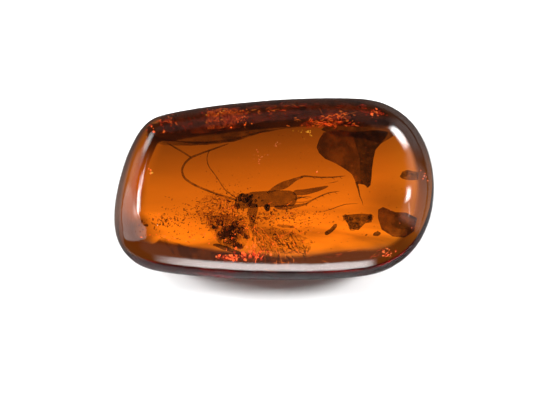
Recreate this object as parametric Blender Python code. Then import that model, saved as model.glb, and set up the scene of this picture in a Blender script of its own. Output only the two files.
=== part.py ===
"""Insect in amber: a polished amber stone with a cricket and scraps of plant sealed inside it.

The dimensions below are in millimetres and become metres as the shapes are made. +Z is up and +X
runs along the stone's longest side. The stone lies on its flat base, at height zero. Its clear
solid is parted in two at the level of the insect, and each sealed piece sits in a pocket there.
"""
import math

import bmesh
import bpy
from mathutils import Vector

MM = 0.001  # metres in a millimetre

# ---- The stone ----
# Centre x, centre y and radius of the circles that round the four corners.
CORNERS = (
    (-13.2, 5.25, 4.1),  # back left
    (10.95, 3.3, 8.1),   # back right
    (10.2, -2.05, 9.1),  # front right
    (-13.9, -4.6, 5.9),  # front left
)
CORNER_BLEND = 0.9       # how closely the outline hugs those circles, per millimetre
THICKNESS = 8.5
DOME = 0.5               # how far the top swells above its shoulder
DOME_HALF_LENGTH = 20.0
DOME_HALF_WIDTH = 11.8
DOME_POWER = 2.5         # 2 would be a paraboloid; higher is flatter in the middle
GIRTH_HEIGHT = 3.8       # height of the widest line
SHOULDER_LEFT = 3.95     # inset of the top's rounded edge at the left end
SHOULDER_GAIN = 3.15     # how much wider that inset is at the right end
SHOULDER_TO_FRONT = 1.0  # how much wider it is along the front
CORNER_TUCK = 0.9        # how much narrower it is at the tight corner at the back left
FOOT_ENDS = 3.5          # inset of the rounded lower edge at both ends, where the base begins
FOOT_SIDES = 4.4         # that inset along the two long sides
FOOT_TO_FRONT = 0.7      # how much more it is at the front, and less at the back
OUTLINE_POINTS = 88
CORNER_SHARE = 9.0       # points go by length along the outline plus this much per radian of turn
EDGE_STEPS = 8           # rings on each rounded edge
TOP_RINGS = (0.8, 0.5, 0.2)
SPINE = 0.55             # length of the line on which those rings close, as a share of the top's

# ---- Parting and pockets ----
PARTING_HEIGHT = 4.6
PARTING_GAP = 0.3
CLEARANCE = 0.35         # space left around each sealed piece

# ---- The cricket ----
# Blobs: centre, radii and turn about the vertical in degrees.
HEAD = ((-4.05, -2.4, 4.6), (0.85, 0.8, 0.7), 20)
PRONOTUM = ((-2.7, -2.1, 4.65), (1.0, 0.98, 0.85), 0)
ABDOMEN = ((-0.1, -1.95, 4.6), (2.95, 1.1, 0.95), 2)
MID_LEG_STUB = ((-0.75, -3.1, 4.6), (0.36, 0.62, 0.35), -8)
# Limbs: x, y, z and radius at stations along each one.
WING_TIPS = ((1.0, -1.6, 4.6, 0.7), (2.9, -1.35, 4.6, 0.48), (4.8, -0.95, 4.65, 0.3),
             (6.7, -0.35, 4.7, 0.12))
BACK_FEMUR = ((-0.8, -1.2, 4.6, 0.2), (0.8, -0.45, 4.8, 0.38), (2.0, 0.25, 5.0, 0.3),
              (3.9, 0.8, 5.2, 0.12))
BACK_TIBIA = ((3.7, 0.78, 5.2, 0.12), (5.5, 0.72, 5.1, 0.1), (7.1, 0.72, 5.0, 0.08),
              (8.8, 0.95, 4.9, 0.06))
FRONT_FEMUR = ((0.1, -3.0, 4.6, 0.22), (1.5, -2.95, 4.6, 0.27), (2.7, -2.85, 4.6, 0.2),
               (4.1, -2.5, 4.6, 0.12))
FRONT_TIBIA = ((3.9, -2.55, 4.6, 0.12), (5.1, -1.9, 4.6, 0.1), (6.6, -1.15, 4.6, 0.08),
               (8.1, -0.95, 4.6, 0.06))
FRONT_LEG = ((-2.5, -2.7, 4.6, 0.6), (-2.55, -3.9, 4.6, 0.48), (-2.65, -5.1, 4.6, 0.24),
             (-2.5, -6.3, 4.6, 0.08))
CERCUS = ((2.3, -2.1, 4.6, 0.12), (3.6, -1.85, 4.6, 0.08), (4.6, -2.0, 4.6, 0.05))
THICK_ANTENNA = ((-4.5, -2.1, 4.6, 0.13), (-6.5, -1.5, 4.6, 0.11), (-9.3, -0.3, 4.65, 0.1),
                 (-10.8, 0.5, 4.7, 0.1), (-11.3, 1.7, 4.7, 0.1), (-10.8, 2.8, 4.7, 0.1),
                 (-9.2, 3.5, 4.65, 0.09), (-7.7, 4.3, 4.6, 0.08), (-5.8, 5.1, 4.6, 0.07))
THIN_ANTENNA = ((-4.5, -1.9, 4.6, 0.1), (-6.1, -0.7, 4.7, 0.08), (-7.9, 2.0, 4.8, 0.07),
                (-8.3, 3.1, 4.85, 0.07), (-8.2, 4.0, 4.9, 0.06))

# ---- Scraps of plant and wood ----
# Plates: x and y of each corner of the outline.
PLANT_FLAKE = ((6.0, 6.4), (5.3, 4.6), (6.4, 3.2), (8.6, 2.1), (9.7, 1.3), (10.3, 0.2),
               (11.6, -0.5), (12.0, 0.1), (12.3, 3.2), (13.0, 4.9), (14.0, 6.6), (10.0, 7.0))
PLANT_FLAKE_FOLD = ((9.7, 6.3), (10.9, 0.1))
PLANT_FLAKE_RISE = 0.12  # rise of each side away from the fold, per millimetre
CORNER_FLAKE = ((12.8, -3.3), (14.7, -3.5), (17.0, -4.0), (16.6, -5.6), (14.6, -6.3), (13.4, -5.2))
BARK_CHIP = ((8.4, -4.0), (10.2, -3.95), (12.1, -3.75), (11.9, -4.8), (10.3, -5.7), (9.4, -5.5))
EDGE_CHIP = ((15.4, 1.2), (15.9, 1.8), (17.5, 1.6), (17.3, 0.6), (16.0, 0.5))
PLATE_THICKNESS = 0.4
BARK_THICKNESS = 0.7
DEBRIS_CLUMP = ((-5.0, -6.0, 4.5), (1.75, 1.35, 0.9), -18)
DEBRIS_BUMPS = 0.16      # depth of the clump's lumps, as a share of its radius
WOOD_SLIVER = ((-7.5, -7.3, 4.6, 0.12), (-6.2, -7.6, 4.6, 0.26), (-4.8, -7.95, 4.6, 0.24),
               (-3.6, -8.3, 4.6, 0.1))

# ---- Finishes: colour, roughness ----
AMBER = ((0.62, 0.2, 0.02), 0.06)
CHITIN = ((0.12, 0.045, 0.012), 0.55)
PLANT = ((0.06, 0.022, 0.01), 0.7)
BARK = ((0.2, 0.085, 0.03), 0.8)
DEBRIS = ((0.07, 0.03, 0.014), 0.85)


def clear_scene():
    """Remove every object of the open scene."""
    for thing in list(bpy.data.objects):
        bpy.data.objects.remove(thing, do_unlink=True)


def finish(name, look):
    """Return a new material with the look's colour and roughness."""
    colour, roughness = look
    material = bpy.data.materials.new(name)
    material.use_nodes = True
    shader = material.node_tree.nodes["Principled BSDF"]
    shader.inputs["Base Color"].default_value = (*colour, 1.0)
    shader.inputs["Roughness"].default_value = roughness
    shader.inputs["Metallic"].default_value = 0.0
    return material


def place(name, mesh, look=None):
    """Put a mesh in the scene as a finished part, or as a hidden guide when it has no look."""
    part = bpy.data.objects.new(name, mesh)
    bpy.context.scene.collection.objects.link(part)
    if look is None:
        part.hide_render = True
        part.display_type = "WIRE"
    else:
        mesh.materials.append(finish(name, look))
    return part


def combine(part, other, operation):
    """Add a Boolean of the other object to a part."""
    cut = part.modifiers.new(other.name, "BOOLEAN")
    cut.operation = operation
    cut.object = other


def to_mesh(name, bm, smooth_angle=40):
    """Turn a closed bmesh into a mesh whose faces point outward and whose round parts are smooth."""
    bmesh.ops.recalc_face_normals(bm, faces=bm.faces[:])
    mesh = bpy.data.meshes.new(name)
    bm.to_mesh(mesh)
    bm.free()
    mesh.shade_smooth()
    mesh.set_sharp_from_angle(angle=math.radians(smooth_angle))
    return mesh


# ---- The stone's form ----
def reach(angle):
    """How far the outline reaches from the middle in a direction, and how fast that changes."""
    nx, ny = math.cos(angle), math.sin(angle)
    reaches = [x * nx + y * ny + radius for x, y, radius in CORNERS]
    farthest = max(reaches)
    weights = [math.exp(CORNER_BLEND * (value - farthest)) for value in reaches]
    total = sum(weights)
    turn = sum(w * (y * nx - x * ny) for w, (x, y, _) in zip(weights, CORNERS)) / total
    return farthest + math.log(total) / CORNER_BLEND, turn


def outline_point(angle):
    """Return the outline's point and outward normal where it faces a direction."""
    far, turn = reach(angle)
    normal = Vector((math.cos(angle), math.sin(angle), 0))
    along = Vector((-math.sin(angle), math.cos(angle), 0))
    middle = Vector(((reach(0)[0] - reach(math.pi)[0]) / 2,
                     (reach(math.pi / 2)[0] - reach(-math.pi / 2)[0]) / 2, 0))
    return normal * far + along * turn - middle, normal


def facing_angles(count, trial=720):
    """Directions that spread points along the outline, closer together where it turns."""
    trials = [math.tau * i / trial for i in range(trial + 1)]
    walked = [0.0]
    for before, after in zip(trials, trials[1:]):
        step = (outline_point(after)[0] - outline_point(before)[0]).length
        walked.append(walked[-1] + step + CORNER_SHARE * (after - before))
    angles = []
    for i in range(count):
        goal = walked[-1] * i / count
        after = next(k for k, value in enumerate(walked) if value > goal)
        share = (goal - walked[after - 1]) / (walked[after] - walked[after - 1])
        angles.append(trials[after - 1] + share * (trials[after] - trials[after - 1]))
    return angles


def shoulder(normal):
    """Inset of the rounded upper edge on the side that faces a direction."""
    to_corner = max(0.0, (normal.y - normal.x) / math.sqrt(2))
    return (SHOULDER_LEFT + SHOULDER_GAIN * ((1 + normal.x) / 2) ** 2
            + SHOULDER_TO_FRONT * max(0.0, -normal.y) ** 6 - CORNER_TUCK * to_corner ** 4)


def foot(normal):
    """Inset of the rounded lower edge on the side that faces a direction."""
    return FOOT_ENDS + (FOOT_SIDES - FOOT_ENDS) * normal.y ** 2 - FOOT_TO_FRONT * normal.y


def swell(point):
    """Height that the dome adds at a point, about none at the outline and DOME at the middle."""
    away = (abs(point.x) / DOME_HALF_LENGTH) ** DOME_POWER
    away += (abs(point.y) / DOME_HALF_WIDTH) ** DOME_POWER
    return DOME * (1 - away)


def lower_edge_ring(rim, turn):
    """Ring of the rounded lower edge, from the flat base (0) to the widest line (90 degrees)."""
    height = GIRTH_HEIGHT * (1 - math.cos(turn))
    return [edge - normal * foot(normal) * (1 - math.sin(turn)) + Vector((0, 0, height))
            for edge, normal in rim]


def upper_edge_ring(rim, turn):
    """Ring of the rounded upper edge, from the widest line (0) to the top (90 degrees)."""
    rise = THICKNESS - DOME - GIRTH_HEIGHT
    ring = []
    for edge, normal in rim:
        point = edge - normal * shoulder(normal) * (1 - math.cos(turn))
        height = GIRTH_HEIGHT + (rise + swell(point)) * math.sin(turn)
        ring.append(point + Vector((0, 0, height)))
    return ring


def top_ring(rim, share):
    """Ring of the domed top, at a share of the way from a spine along it to its shoulder."""
    ring = []
    for edge, normal in rim:
        point = (edge - normal * shoulder(normal)) * share
        point.x *= 1 + SPINE * (1 / share - 1)
        ring.append(point + Vector((0, 0, THICKNESS - DOME + swell(point))))
    return ring


def next_ring(bm, ring, points):
    """Extrude the last ring to a new one whose vertices go to the given points."""
    edges = [bm.edges.get((ring[i - 1], ring[i])) for i in range(len(ring))]
    grown = bmesh.ops.extrude_edge_only(bm, edges=edges)["geom"]
    fresh = {item for item in grown if isinstance(item, bmesh.types.BMVert)}
    out = []
    for vertex, point in zip(ring, points):
        twin = next(e.other_vert(vertex) for e in vertex.link_edges if e.other_vert(vertex) in fresh)
        twin.co = point * MM
        out.append(twin)
    return out


def stone_mesh():
    """The whole stone: flat base, rounded lower and upper edges and a domed top."""
    rim = [outline_point(angle) for angle in facing_angles(OUTLINE_POINTS)]
    quarter = [math.pi / 2 * i / EDGE_STEPS for i in range(EDGE_STEPS + 1)]
    rings = [lower_edge_ring(rim, turn) for turn in quarter]
    rings += [upper_edge_ring(rim, turn) for turn in quarter[1:]]
    rings += [top_ring(rim, share) for share in TOP_RINGS]
    bm = bmesh.new()
    base = bmesh.ops.create_circle(bm, cap_ends=True, segments=OUTLINE_POINTS, radius=MM)["verts"]
    for vertex, point in zip(base, rings[0]):
        vertex.co = point * MM
    ring = base
    for points in rings[1:]:
        ring = next_ring(bm, ring, points)
    bmesh.ops.triangulate(bm, faces=[bm.faces.new(ring)])
    return to_mesh("stone", bm)


# ---- Shapes of the sealed pieces ----
def blob(name, shape, detail=2, bumps=0.0):
    """An ellipsoid, whose surface may be lumpy."""
    centre, radii, degrees = shape
    bm = bmesh.new()
    bmesh.ops.create_icosphere(bm, subdivisions=detail, radius=1)
    turn = math.radians(degrees)
    for vertex in bm.verts:
        x, y, z = vertex.co
        lump = 1 + bumps * math.sin(7 * x + 2 * z) * math.cos(6 * y - 3 * x)
        x, y, z = (value * radius * lump for value, radius in zip((x, y, z), radii))
        turned = Vector((x * math.cos(turn) - y * math.sin(turn),
                         x * math.sin(turn) + y * math.cos(turn), z))
        vertex.co = (turned + Vector(centre)) * MM
    return to_mesh(name, bm)


def limb(name, stations, sides=8, steps=3):
    """A round limb that follows a smooth curve and changes its radius from station to station."""
    curve = bpy.data.curves.new(name, "CURVE")
    curve.dimensions = "3D"
    curve.bevel_depth = MM
    curve.bevel_resolution = sides // 2 - 2
    curve.use_fill_caps = True
    curve.resolution_u = steps
    curve.render_resolution_u = steps
    spline = curve.splines.new("BEZIER")
    spline.bezier_points.add(len(stations) - 1)
    for point, (x, y, z, radius) in zip(spline.bezier_points, stations):
        point.co = Vector((x, y, z)) * MM
        point.radius = radius
        point.handle_left_type = point.handle_right_type = "AUTO"
    guide = bpy.data.objects.new(name, curve)
    bm = bmesh.new()
    bm.from_mesh(bpy.data.meshes.new_from_object(guide))
    bpy.data.objects.remove(guide)
    bmesh.ops.remove_doubles(bm, verts=bm.verts[:], dist=0.001 * MM)
    return to_mesh(name, bm)


def plate(name, outline, thickness=PLATE_THICKNESS, fold=None):
    """A flake of the given outline, flat or folded along a line, at the parting's height."""
    bm = bmesh.new()
    corners = [bm.verts.new(Vector((x, y, PARTING_HEIGHT - thickness / 2)) * MM) for x, y in outline]
    bm.faces.new(corners)
    if fold:
        start, end = (Vector((x, y, 0)) * MM for x, y in fold)
        across = (end - start).cross(Vector((0, 0, 1))).normalized()
        parts = bm.verts[:] + bm.edges[:] + bm.faces[:]
        bmesh.ops.bisect_plane(bm, geom=parts, plane_co=start, plane_no=across)
        for vertex in bm.verts:
            vertex.co.z += PLANT_FLAKE_RISE * abs((vertex.co - start).dot(across))
    grown = bmesh.ops.extrude_face_region(bm, geom=bm.faces[:])["geom"]
    top = [item for item in grown if isinstance(item, bmesh.types.BMVert)]
    bmesh.ops.translate(bm, verts=top, vec=(0, 0, thickness * MM))
    bmesh.ops.triangulate(bm, faces=bm.faces[:])
    return to_mesh(name, bm, smooth_angle=20)


def swollen(mesh):
    """A copy of a mesh with every face moved out by the pocket's clearance."""
    bm = bmesh.new()
    bm.from_mesh(mesh)
    bm.normal_update()
    moves = [vertex.normal * vertex.calc_shell_factor() * CLEARANCE * MM for vertex in bm.verts]
    for vertex, move in zip(bm.verts, moves):
        vertex.co += move
    return to_mesh(mesh.name + "_room", bm)


# ---- Assemblies ----
def cricket_shapes():
    """The closed shapes that make up the insect, the largest first."""
    return [
        blob("abdomen", ABDOMEN, detail=3),
        blob("head", HEAD),
        blob("pronotum", PRONOTUM),
        blob("mid_leg_stub", MID_LEG_STUB, detail=1),
        limb("wing_tips", WING_TIPS),
        limb("back_femur", BACK_FEMUR),
        limb("back_tibia", BACK_TIBIA, sides=6),
        limb("front_femur", FRONT_FEMUR),
        limb("front_tibia", FRONT_TIBIA, sides=6),
        limb("front_leg", FRONT_LEG),
        limb("cercus", CERCUS, sides=6, steps=2),
        limb("thick_antenna", THICK_ANTENNA, sides=6),
        limb("thin_antenna", THIN_ANTENNA, sides=6),
    ]


def joined(name, shapes, look=None):
    """One object made of overlapping closed shapes."""
    part = place(name, shapes[0], look)
    for shape in shapes[1:]:
        combine(part, place(shape.name + "_guide", shape), "UNION")
    return part


def sealed_pieces():
    """Place each sealed piece and return the pocket that each one needs."""
    pieces = [
        ("cricket", cricket_shapes(), CHITIN),
        ("plant_flake", [plate("plant_flake", PLANT_FLAKE, fold=PLANT_FLAKE_FOLD)], PLANT),
        ("corner_flake", [plate("corner_flake", CORNER_FLAKE)], PLANT),
        ("bark_chip", [plate("bark_chip", BARK_CHIP, thickness=BARK_THICKNESS)], BARK),
        ("edge_chip", [plate("edge_chip", EDGE_CHIP)], PLANT),
        ("debris_clump", [blob("debris_clump", DEBRIS_CLUMP, bumps=DEBRIS_BUMPS)], DEBRIS),
        ("wood_sliver", [limb("wood_sliver", WOOD_SLIVER)], DEBRIS),
    ]
    pockets = []
    for name, shapes, look in pieces:
        pockets.append(joined(name + "_pocket", [swollen(shape) for shape in shapes]))
        joined(name, shapes, look)
    return pockets


def cutting_block(name, low, high):
    """A hidden block, wider than the stone, between two heights."""
    bm = bmesh.new()
    bmesh.ops.create_cube(bm, size=1)
    for vertex in bm.verts:
        vertex.co.x *= 100 * MM
        vertex.co.y *= 100 * MM
        vertex.co.z = (low if vertex.co.z < 0 else high) * MM
    return place(name, to_mesh(name, bm))


def amber_halves(pockets):
    """The clear solid, parted at the level of the sealed pieces."""
    above = cutting_block("above_parting", PARTING_HEIGHT - PARTING_GAP / 2, 2 * THICKNESS)
    below = cutting_block("below_parting", -THICKNESS, PARTING_HEIGHT + PARTING_GAP / 2)
    for name, waste in (("amber_lower", above), ("amber_upper", below)):
        half = place(name, stone_mesh(), AMBER)
        for cutter in (waste, *pockets):
            combine(half, cutter, "DIFFERENCE")


def main():
    """Build the whole specimen."""
    clear_scene()
    amber_halves(sealed_pieces())


main()
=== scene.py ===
"""Insect in amber: the looks of a polished amber stone with a cricket and scraps of plant inside.

Sizes are in millimetres unless a name says otherwise, and become metres as the shapes are made.
The stone lies on its flat base at height zero, with +X along its longest side.
"""
import logging
import math
import random
from collections.abc import Callable
from dataclasses import dataclass
from enum import Enum, IntEnum
from functools import cached_property

import bmesh
import bpy
from mathutils import Matrix, Vector, noise


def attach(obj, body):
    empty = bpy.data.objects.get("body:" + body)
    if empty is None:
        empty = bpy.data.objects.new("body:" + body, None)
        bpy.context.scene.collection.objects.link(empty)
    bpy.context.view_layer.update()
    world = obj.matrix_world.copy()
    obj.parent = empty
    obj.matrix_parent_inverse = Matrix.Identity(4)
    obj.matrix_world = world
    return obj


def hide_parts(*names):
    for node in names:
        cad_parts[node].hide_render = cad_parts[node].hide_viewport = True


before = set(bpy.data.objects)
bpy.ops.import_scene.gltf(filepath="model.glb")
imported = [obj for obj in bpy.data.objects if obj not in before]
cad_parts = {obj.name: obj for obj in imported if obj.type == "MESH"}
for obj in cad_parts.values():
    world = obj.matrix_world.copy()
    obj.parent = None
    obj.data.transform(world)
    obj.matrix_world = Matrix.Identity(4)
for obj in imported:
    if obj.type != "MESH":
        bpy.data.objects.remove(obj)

LOG = logging.getLogger("insect_in_amber")
MM = 0.001
BODY = "root"
LEVEL = 4.6        # height of the layer in which most sealed pieces lie
LEAN = 0.15        # how far a sight line leans back for each millimetre that it sinks
POUR_LIMIT = 600   # vertices that the small mesh may hold before it is poured into the whole
NOISE_SPAN = 90    # how far into the noise field a shape's own patch may lie
CRISP = 30.0       # degrees: flakes keep sharper edges than this
ROUND = 180.0      # degrees: no edge stays sharp
WHITE = (1, 1, 1, 1)

Material = bpy.types.Material
Mesh = bmesh.types.BMesh
Socket = bpy.types.NodeSocket
Triple = tuple[float, float, float]


# ---------------------------------------------------------------- shapes
def next_ring(bm: Mesh, ring: list, points: list[Vector]) -> list:
    """Extrude a ring of vertices to a new ring.

    Args:
        bm: The mesh that holds the ring.
        ring: The last ring's vertices, in order.
        points: Where the new ring's vertices go, in metres.

    Returns:
        The new ring's vertices, in the same order.
    """
    edges = [bm.edges.get((ring[i - 1], ring[i])) for i in range(len(ring))]
    grown = bmesh.ops.extrude_edge_only(bm, edges=edges)["geom"]
    fresh = {item for item in grown if isinstance(item, bmesh.types.BMVert)}
    out = []
    for vertex, point in zip(ring, points):
        ends = (edge.other_vert(vertex) for edge in vertex.link_edges)
        twin = next(end for end in ends if end in fresh)
        twin.co = point
        out.append(twin)
    return out


def first_ring(bm: Mesh, points: list[Vector], capped: bool = True) -> list:
    """Start a skin with its first ring.

    Args:
        bm: The mesh to start it in.
        points: Where the ring's vertices go, in metres.
        capped: Whether a face closes the ring.

    Returns:
        The ring's vertices, in order.
    """
    ring = bmesh.ops.create_circle(bm, cap_ends=capped, segments=len(points), radius=MM)["verts"]
    for vertex, point in zip(ring, points):
        vertex.co = point
    return ring


def at_height(z: float, *rows: tuple) -> tuple:
    """Return a limb's stations at the height that they share, from their x, y and radius."""
    return tuple((x, y, z, radius) for x, y, radius in rows)


def at_depth(x: float, y: float, z: float) -> Vector:
    """Return the place at height z that looks, from above the front, as if at x, y on LEVEL."""
    return Vector((x, y + LEAN * (LEVEL - z), z))


def smooth_path(stations: tuple, steps: int) -> list[tuple[float, ...]]:
    """Run a smooth curve through stations.

    Args:
        stations: Tuples of numbers, such as x, y, z and radius.
        steps: How many points to put on each stretch.

    Returns:
        The curve's points, tuples of the same length as the stations.
    """
    ends = (stations[0], *stations, stations[-1])
    path = []
    for a, b, c, d in zip(ends, ends[1:], ends[2:], ends[3:]):
        for i in range(steps):
            t = i / steps
            path.append(tuple(
                0.5 * (2 * q + (r - p) * t + (2 * p - 5 * q + 4 * r - s) * t ** 2
                       + (3 * q - p - 3 * r + s) * t ** 3) for p, q, r, s in zip(a, b, c, d)))
    path.append(stations[-1])
    return path


class Sculptor:
    """Collects closed shapes: each is made in a small bmesh and poured into the whole."""

    def __init__(self, seed: int = 1) -> None:
        """Start an empty mesh with its own run of seeded chance.

        Args:
            seed: The seed of its chance.
        """
        self.bm = bmesh.new()
        self.whole = bmesh.new()
        self.chance = random.Random(seed)

    def pour(self, limit: int = 0) -> None:
        """Move the small mesh into the whole once it has more vertices than a limit.

        Args:
            limit: How many vertices may stay in the small mesh.
        """
        if len(self.bm.verts) > limit:
            self.take(self.bm)
            self.bm.clear()

    def take(self, bm: Mesh) -> None:
        """Copy a mesh into the whole.

        Args:
            bm: The mesh to copy.
        """
        poured = bpy.data.meshes.new("poured")
        bm.to_mesh(poured)
        self.whole.from_mesh(poured)
        bpy.data.meshes.remove(poured)

    def patch(self) -> Vector:
        """Pick a patch of the noise field for one shape."""
        return Vector([self.chance.uniform(0, NOISE_SPAN) for _ in range(3)])

    def paint(self, verts: list, material: int) -> None:
        """Give the faces of some vertices a material number."""
        for face in {face for vertex in verts for face in vertex.link_faces}:
            face.material_index = material

    def tube(self, stations: tuple, sides: int = 8, steps: int = 4, flat: float = 1.0,
             material: int = 0, ripple: float = 0.0) -> None:
        """Grow a limb along a smooth curve.

        Args:
            stations: x, y, z and radius along the limb.
            sides: Faces around it.
            steps: Rings between two stations.
            flat: Its height as a share of its width.
            material: The material number of its faces.
            ripple: Depth of the rings around it, as a share of its radius.
        """
        self.pour(POUR_LIMIT)
        path = smooth_path(stations, steps)
        places = [Vector(point[:3]) for point in path]
        ring: list = []
        grown: list = []
        for i, (place, point) in enumerate(zip(places, path)):
            ahead = places[min(i + 1, len(places) - 1)] - places[max(i - 1, 0)]
            across = ahead.cross(Vector((0, 0, 1))).normalized()
            rise = across.cross(ahead).normalized() * flat
            radius = max(0.004, point[3] * (1 - ripple * (i % 2)))
            turns = [math.tau * k / sides for k in range(sides)]
            points = [(place + (across * math.cos(t) + rise * math.sin(t)) * radius) * MM
                      for t in turns]
            ring = next_ring(self.bm, ring, points) if ring else first_ring(self.bm, points)
            grown += ring
        self.bm.faces.new(ring)
        self.paint(grown, material)

    def blob(self, centre: tuple, radii: tuple, turn: float = 0.0, detail: int = 3,
             lumps: float = 0.0, grain: float = 1.0, material: int = 0) -> None:
        """Add an egg-shaped body, smooth or lumpy.

        Args:
            centre: Its middle.
            radii: Its half sizes.
            turn: Its turn about the vertical, in degrees.
            detail: Subdivisions of the ball that it starts from.
            lumps: Depth of its lumps, as a share of its size.
            grain: How many lumps fit in a millimetre.
            material: The material number of its faces.
        """
        self.pour(POUR_LIMIT)
        ball = bmesh.ops.create_icosphere(self.bm, subdivisions=detail, radius=1)["verts"]
        shift = self.patch()
        spin = Matrix.Rotation(math.radians(turn), 3, "Z")
        for vertex in ball:
            out = Vector([value * radius for value, radius in zip(vertex.co, radii)])
            lump = 1 + lumps * noise.noise(out * grain + shift) * 2
            vertex.co = (spin @ (out * lump) + Vector(centre)) * MM
        self.paint(ball, material)

    def crumb(self, centre: Vector, size: float, stretch: float = 1.0, turn: float = 0.0,
              material: int = 0, flat: float = 1.0, detail: int = 1) -> None:
        """Add one small irregular grain.

        Args:
            centre: Its middle, in millimetres.
            size: Its radius.
            stretch: Its length as a multiple of its width.
            turn: The way it points, in degrees.
            material: The material number of its faces.
            flat: Its height as a share of its width.
            detail: Subdivisions of the ball that it starts from.
        """
        self.pour(POUR_LIMIT)
        ball = bmesh.ops.create_icosphere(self.bm, subdivisions=detail, radius=size)["verts"]
        spin = (Matrix.Rotation(math.radians(turn), 3, "Z")
                @ Matrix.Rotation(self.chance.uniform(-0.5, 0.5), 3, "Y"))
        for vertex in ball:
            rough = self.chance.uniform(0.7, 1.2)
            out = Vector((vertex.co.x * stretch, vertex.co.y, vertex.co.z * flat)) * rough
            vertex.co = (spin @ out + centre) * MM
        self.paint(ball, material)

    def flake(self, outline: tuple, thickness: float, cuts: int = 3, roughness: float = 0.0,
              lift: Callable[[float, float], float] = lambda x, y: LEVEL,
              material: int = 0) -> None:
        """Add a thin plate.

        Args:
            outline: x and y of its corners, in order, at LEVEL.
            thickness: Its thickness.
            cuts: How finely it is subdivided.
            roughness: How far its faces wander up and down.
            lift: Gives the plate's height from x and y.
            material: The material number of its faces.
        """
        self.pour()
        plate = bmesh.new()
        corners = bmesh.ops.create_circle(plate, cap_ends=True, segments=len(outline), radius=1)
        for vertex, (x, y) in zip(corners["verts"], outline):
            vertex.co = Vector((x, y, 0))
        bmesh.ops.triangulate(plate, faces=plate.faces[:])
        bmesh.ops.subdivide_edges(plate, edges=plate.edges[:], cuts=cuts, use_grid_fill=True)
        bmesh.ops.extrude_face_region(plate, geom=plate.faces[:], use_keep_orig=True)
        plate.verts.ensure_lookup_table()
        for vertex in plate.verts[len(plate.verts) // 2:]:
            vertex.co.z = 1.0
        shift = self.patch()
        for vertex in plate.verts:
            x, y, side = vertex.co
            height = lift(x, y) + (side - 0.5) * thickness
            height += roughness * noise.noise(Vector((x * 2, y * 2, side)) + shift)
            vertex.co = at_depth(x, y, height) * MM
        for face in plate.faces:
            face.material_index = material
        self.take(plate)
        plate.free()

    def curl(self, start: Vector, heading: float, length: float, wander: float,
             radius: float, material: int = 0) -> None:
        """Add a thin thread that wanders from a place.

        Args:
            start: Where it begins, in millimetres.
            heading: The way it sets off, in degrees.
            length: Its length.
            wander: How sharply it turns, in degrees a step.
            radius: Its radius at the middle.
            material: The material number of its faces.
        """
        joints = 7
        place, angle, stations = start.copy(), heading, []
        for i in range(joints):
            share = i / (joints - 1)
            stations.append((*place, radius * (0.25 + 3 * share * (1 - share))))
            angle += self.chance.gauss(0, wander)
            turn = math.radians(angle)
            step = Vector((math.cos(turn), 0.7 * math.sin(turn), self.chance.uniform(-0.2, 0.2)))
            place += step * length / joints
        self.tube(tuple(stations), sides=5, steps=2, material=material)

    def done(self) -> Mesh:
        """Turn every face outward and hand the whole mesh over.

        Returns:
            The whole mesh, in metres.
        """
        self.pour()
        self.bm.free()
        bmesh.ops.recalc_face_normals(self.whole, faces=self.whole.faces[:])
        return self.whole


@dataclass
class Outline:
    """The stone's outline: four round corners under one smooth skin.

    Each corner is a centre x, a centre y and a radius.
    """

    corners: tuple = ((-13.2, 5.25, 4.1), (10.95, 3.3, 8.1), (10.2, -2.05, 9.1), (-13.9, -4.6, 5.9))
    blend: float = 0.9            # how sharply one corner takes over from the next
    corner_share: float = 9.0     # how much closer together the rim's points lie where it turns
    side_count: int = 32          # points to measure from
    trial_count: int = 1440       # points that the rim is first walked along

    def reach(self, angle: float) -> tuple[float, float]:
        """Say how far the skin reaches in a direction.

        Args:
            angle: The direction, in radians.

        Returns:
            The reach, and how fast it changes with the angle.
        """
        nx, ny = math.cos(angle), math.sin(angle)
        reaches = [x * nx + y * ny + radius for x, y, radius in self.corners]
        farthest = max(reaches)
        weights = [math.exp(self.blend * (value - farthest)) for value in reaches]
        total = sum(weights)
        turn = sum(w * (y * nx - x * ny) for w, (x, y, _) in zip(weights, self.corners)) / total
        return farthest + math.log(total) / self.blend, turn

    def point(self, angle: float) -> tuple[Vector, Vector]:
        """Return the skin's point and outward normal where it faces a direction.

        Args:
            angle: The direction, in radians.

        Returns:
            The point and its normal.
        """
        far, turn = self.reach(angle)
        normal = Vector((math.cos(angle), math.sin(angle), 0))
        along = Vector((-math.sin(angle), math.cos(angle), 0))
        middle = Vector(((self.reach(0)[0] - self.reach(math.pi)[0]) / 2,
                         (self.reach(math.pi / 2)[0] - self.reach(-math.pi / 2)[0]) / 2, 0))
        return normal * far + along * turn - middle, normal

    @cached_property
    def sides(self) -> list[tuple[Vector, Vector]]:
        """Points all around with their normals, to measure from."""
        return [self.point(math.tau * i / self.side_count) for i in range(self.side_count)]

    def holds(self, place: Vector, margin: float) -> bool:
        """Tell whether a place lies inside the outline.

        Args:
            place: The place.
            margin: How far inside it has to lie.

        Returns:
            Whether it does.
        """
        return all((point - place).dot(normal) >= margin for point, normal in self.sides)

    def rim(self, count: int) -> list[tuple[Vector, Vector]]:
        """Spread points along the outline, closer together where it turns.

        Args:
            count: How many points to spread.

        Returns:
            Each point with its outward normal.
        """
        trials = [math.tau * i / self.trial_count for i in range(self.trial_count + 1)]
        walked = [0.0]
        for before, after in zip(trials, trials[1:]):
            step = (self.point(after)[0] - self.point(before)[0]).length
            walked.append(walked[-1] + step + self.corner_share * (after - before))
        angles, k = [], 1
        for i in range(count):
            goal = walked[-1] * i / count
            while walked[k] <= goal:
                k += 1
            share = (goal - walked[k - 1]) / (walked[k] - walked[k - 1])
            angles.append(trials[k - 1] + share * (trials[k] - trials[k - 1]))
        return [self.point(angle) for angle in angles]


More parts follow.
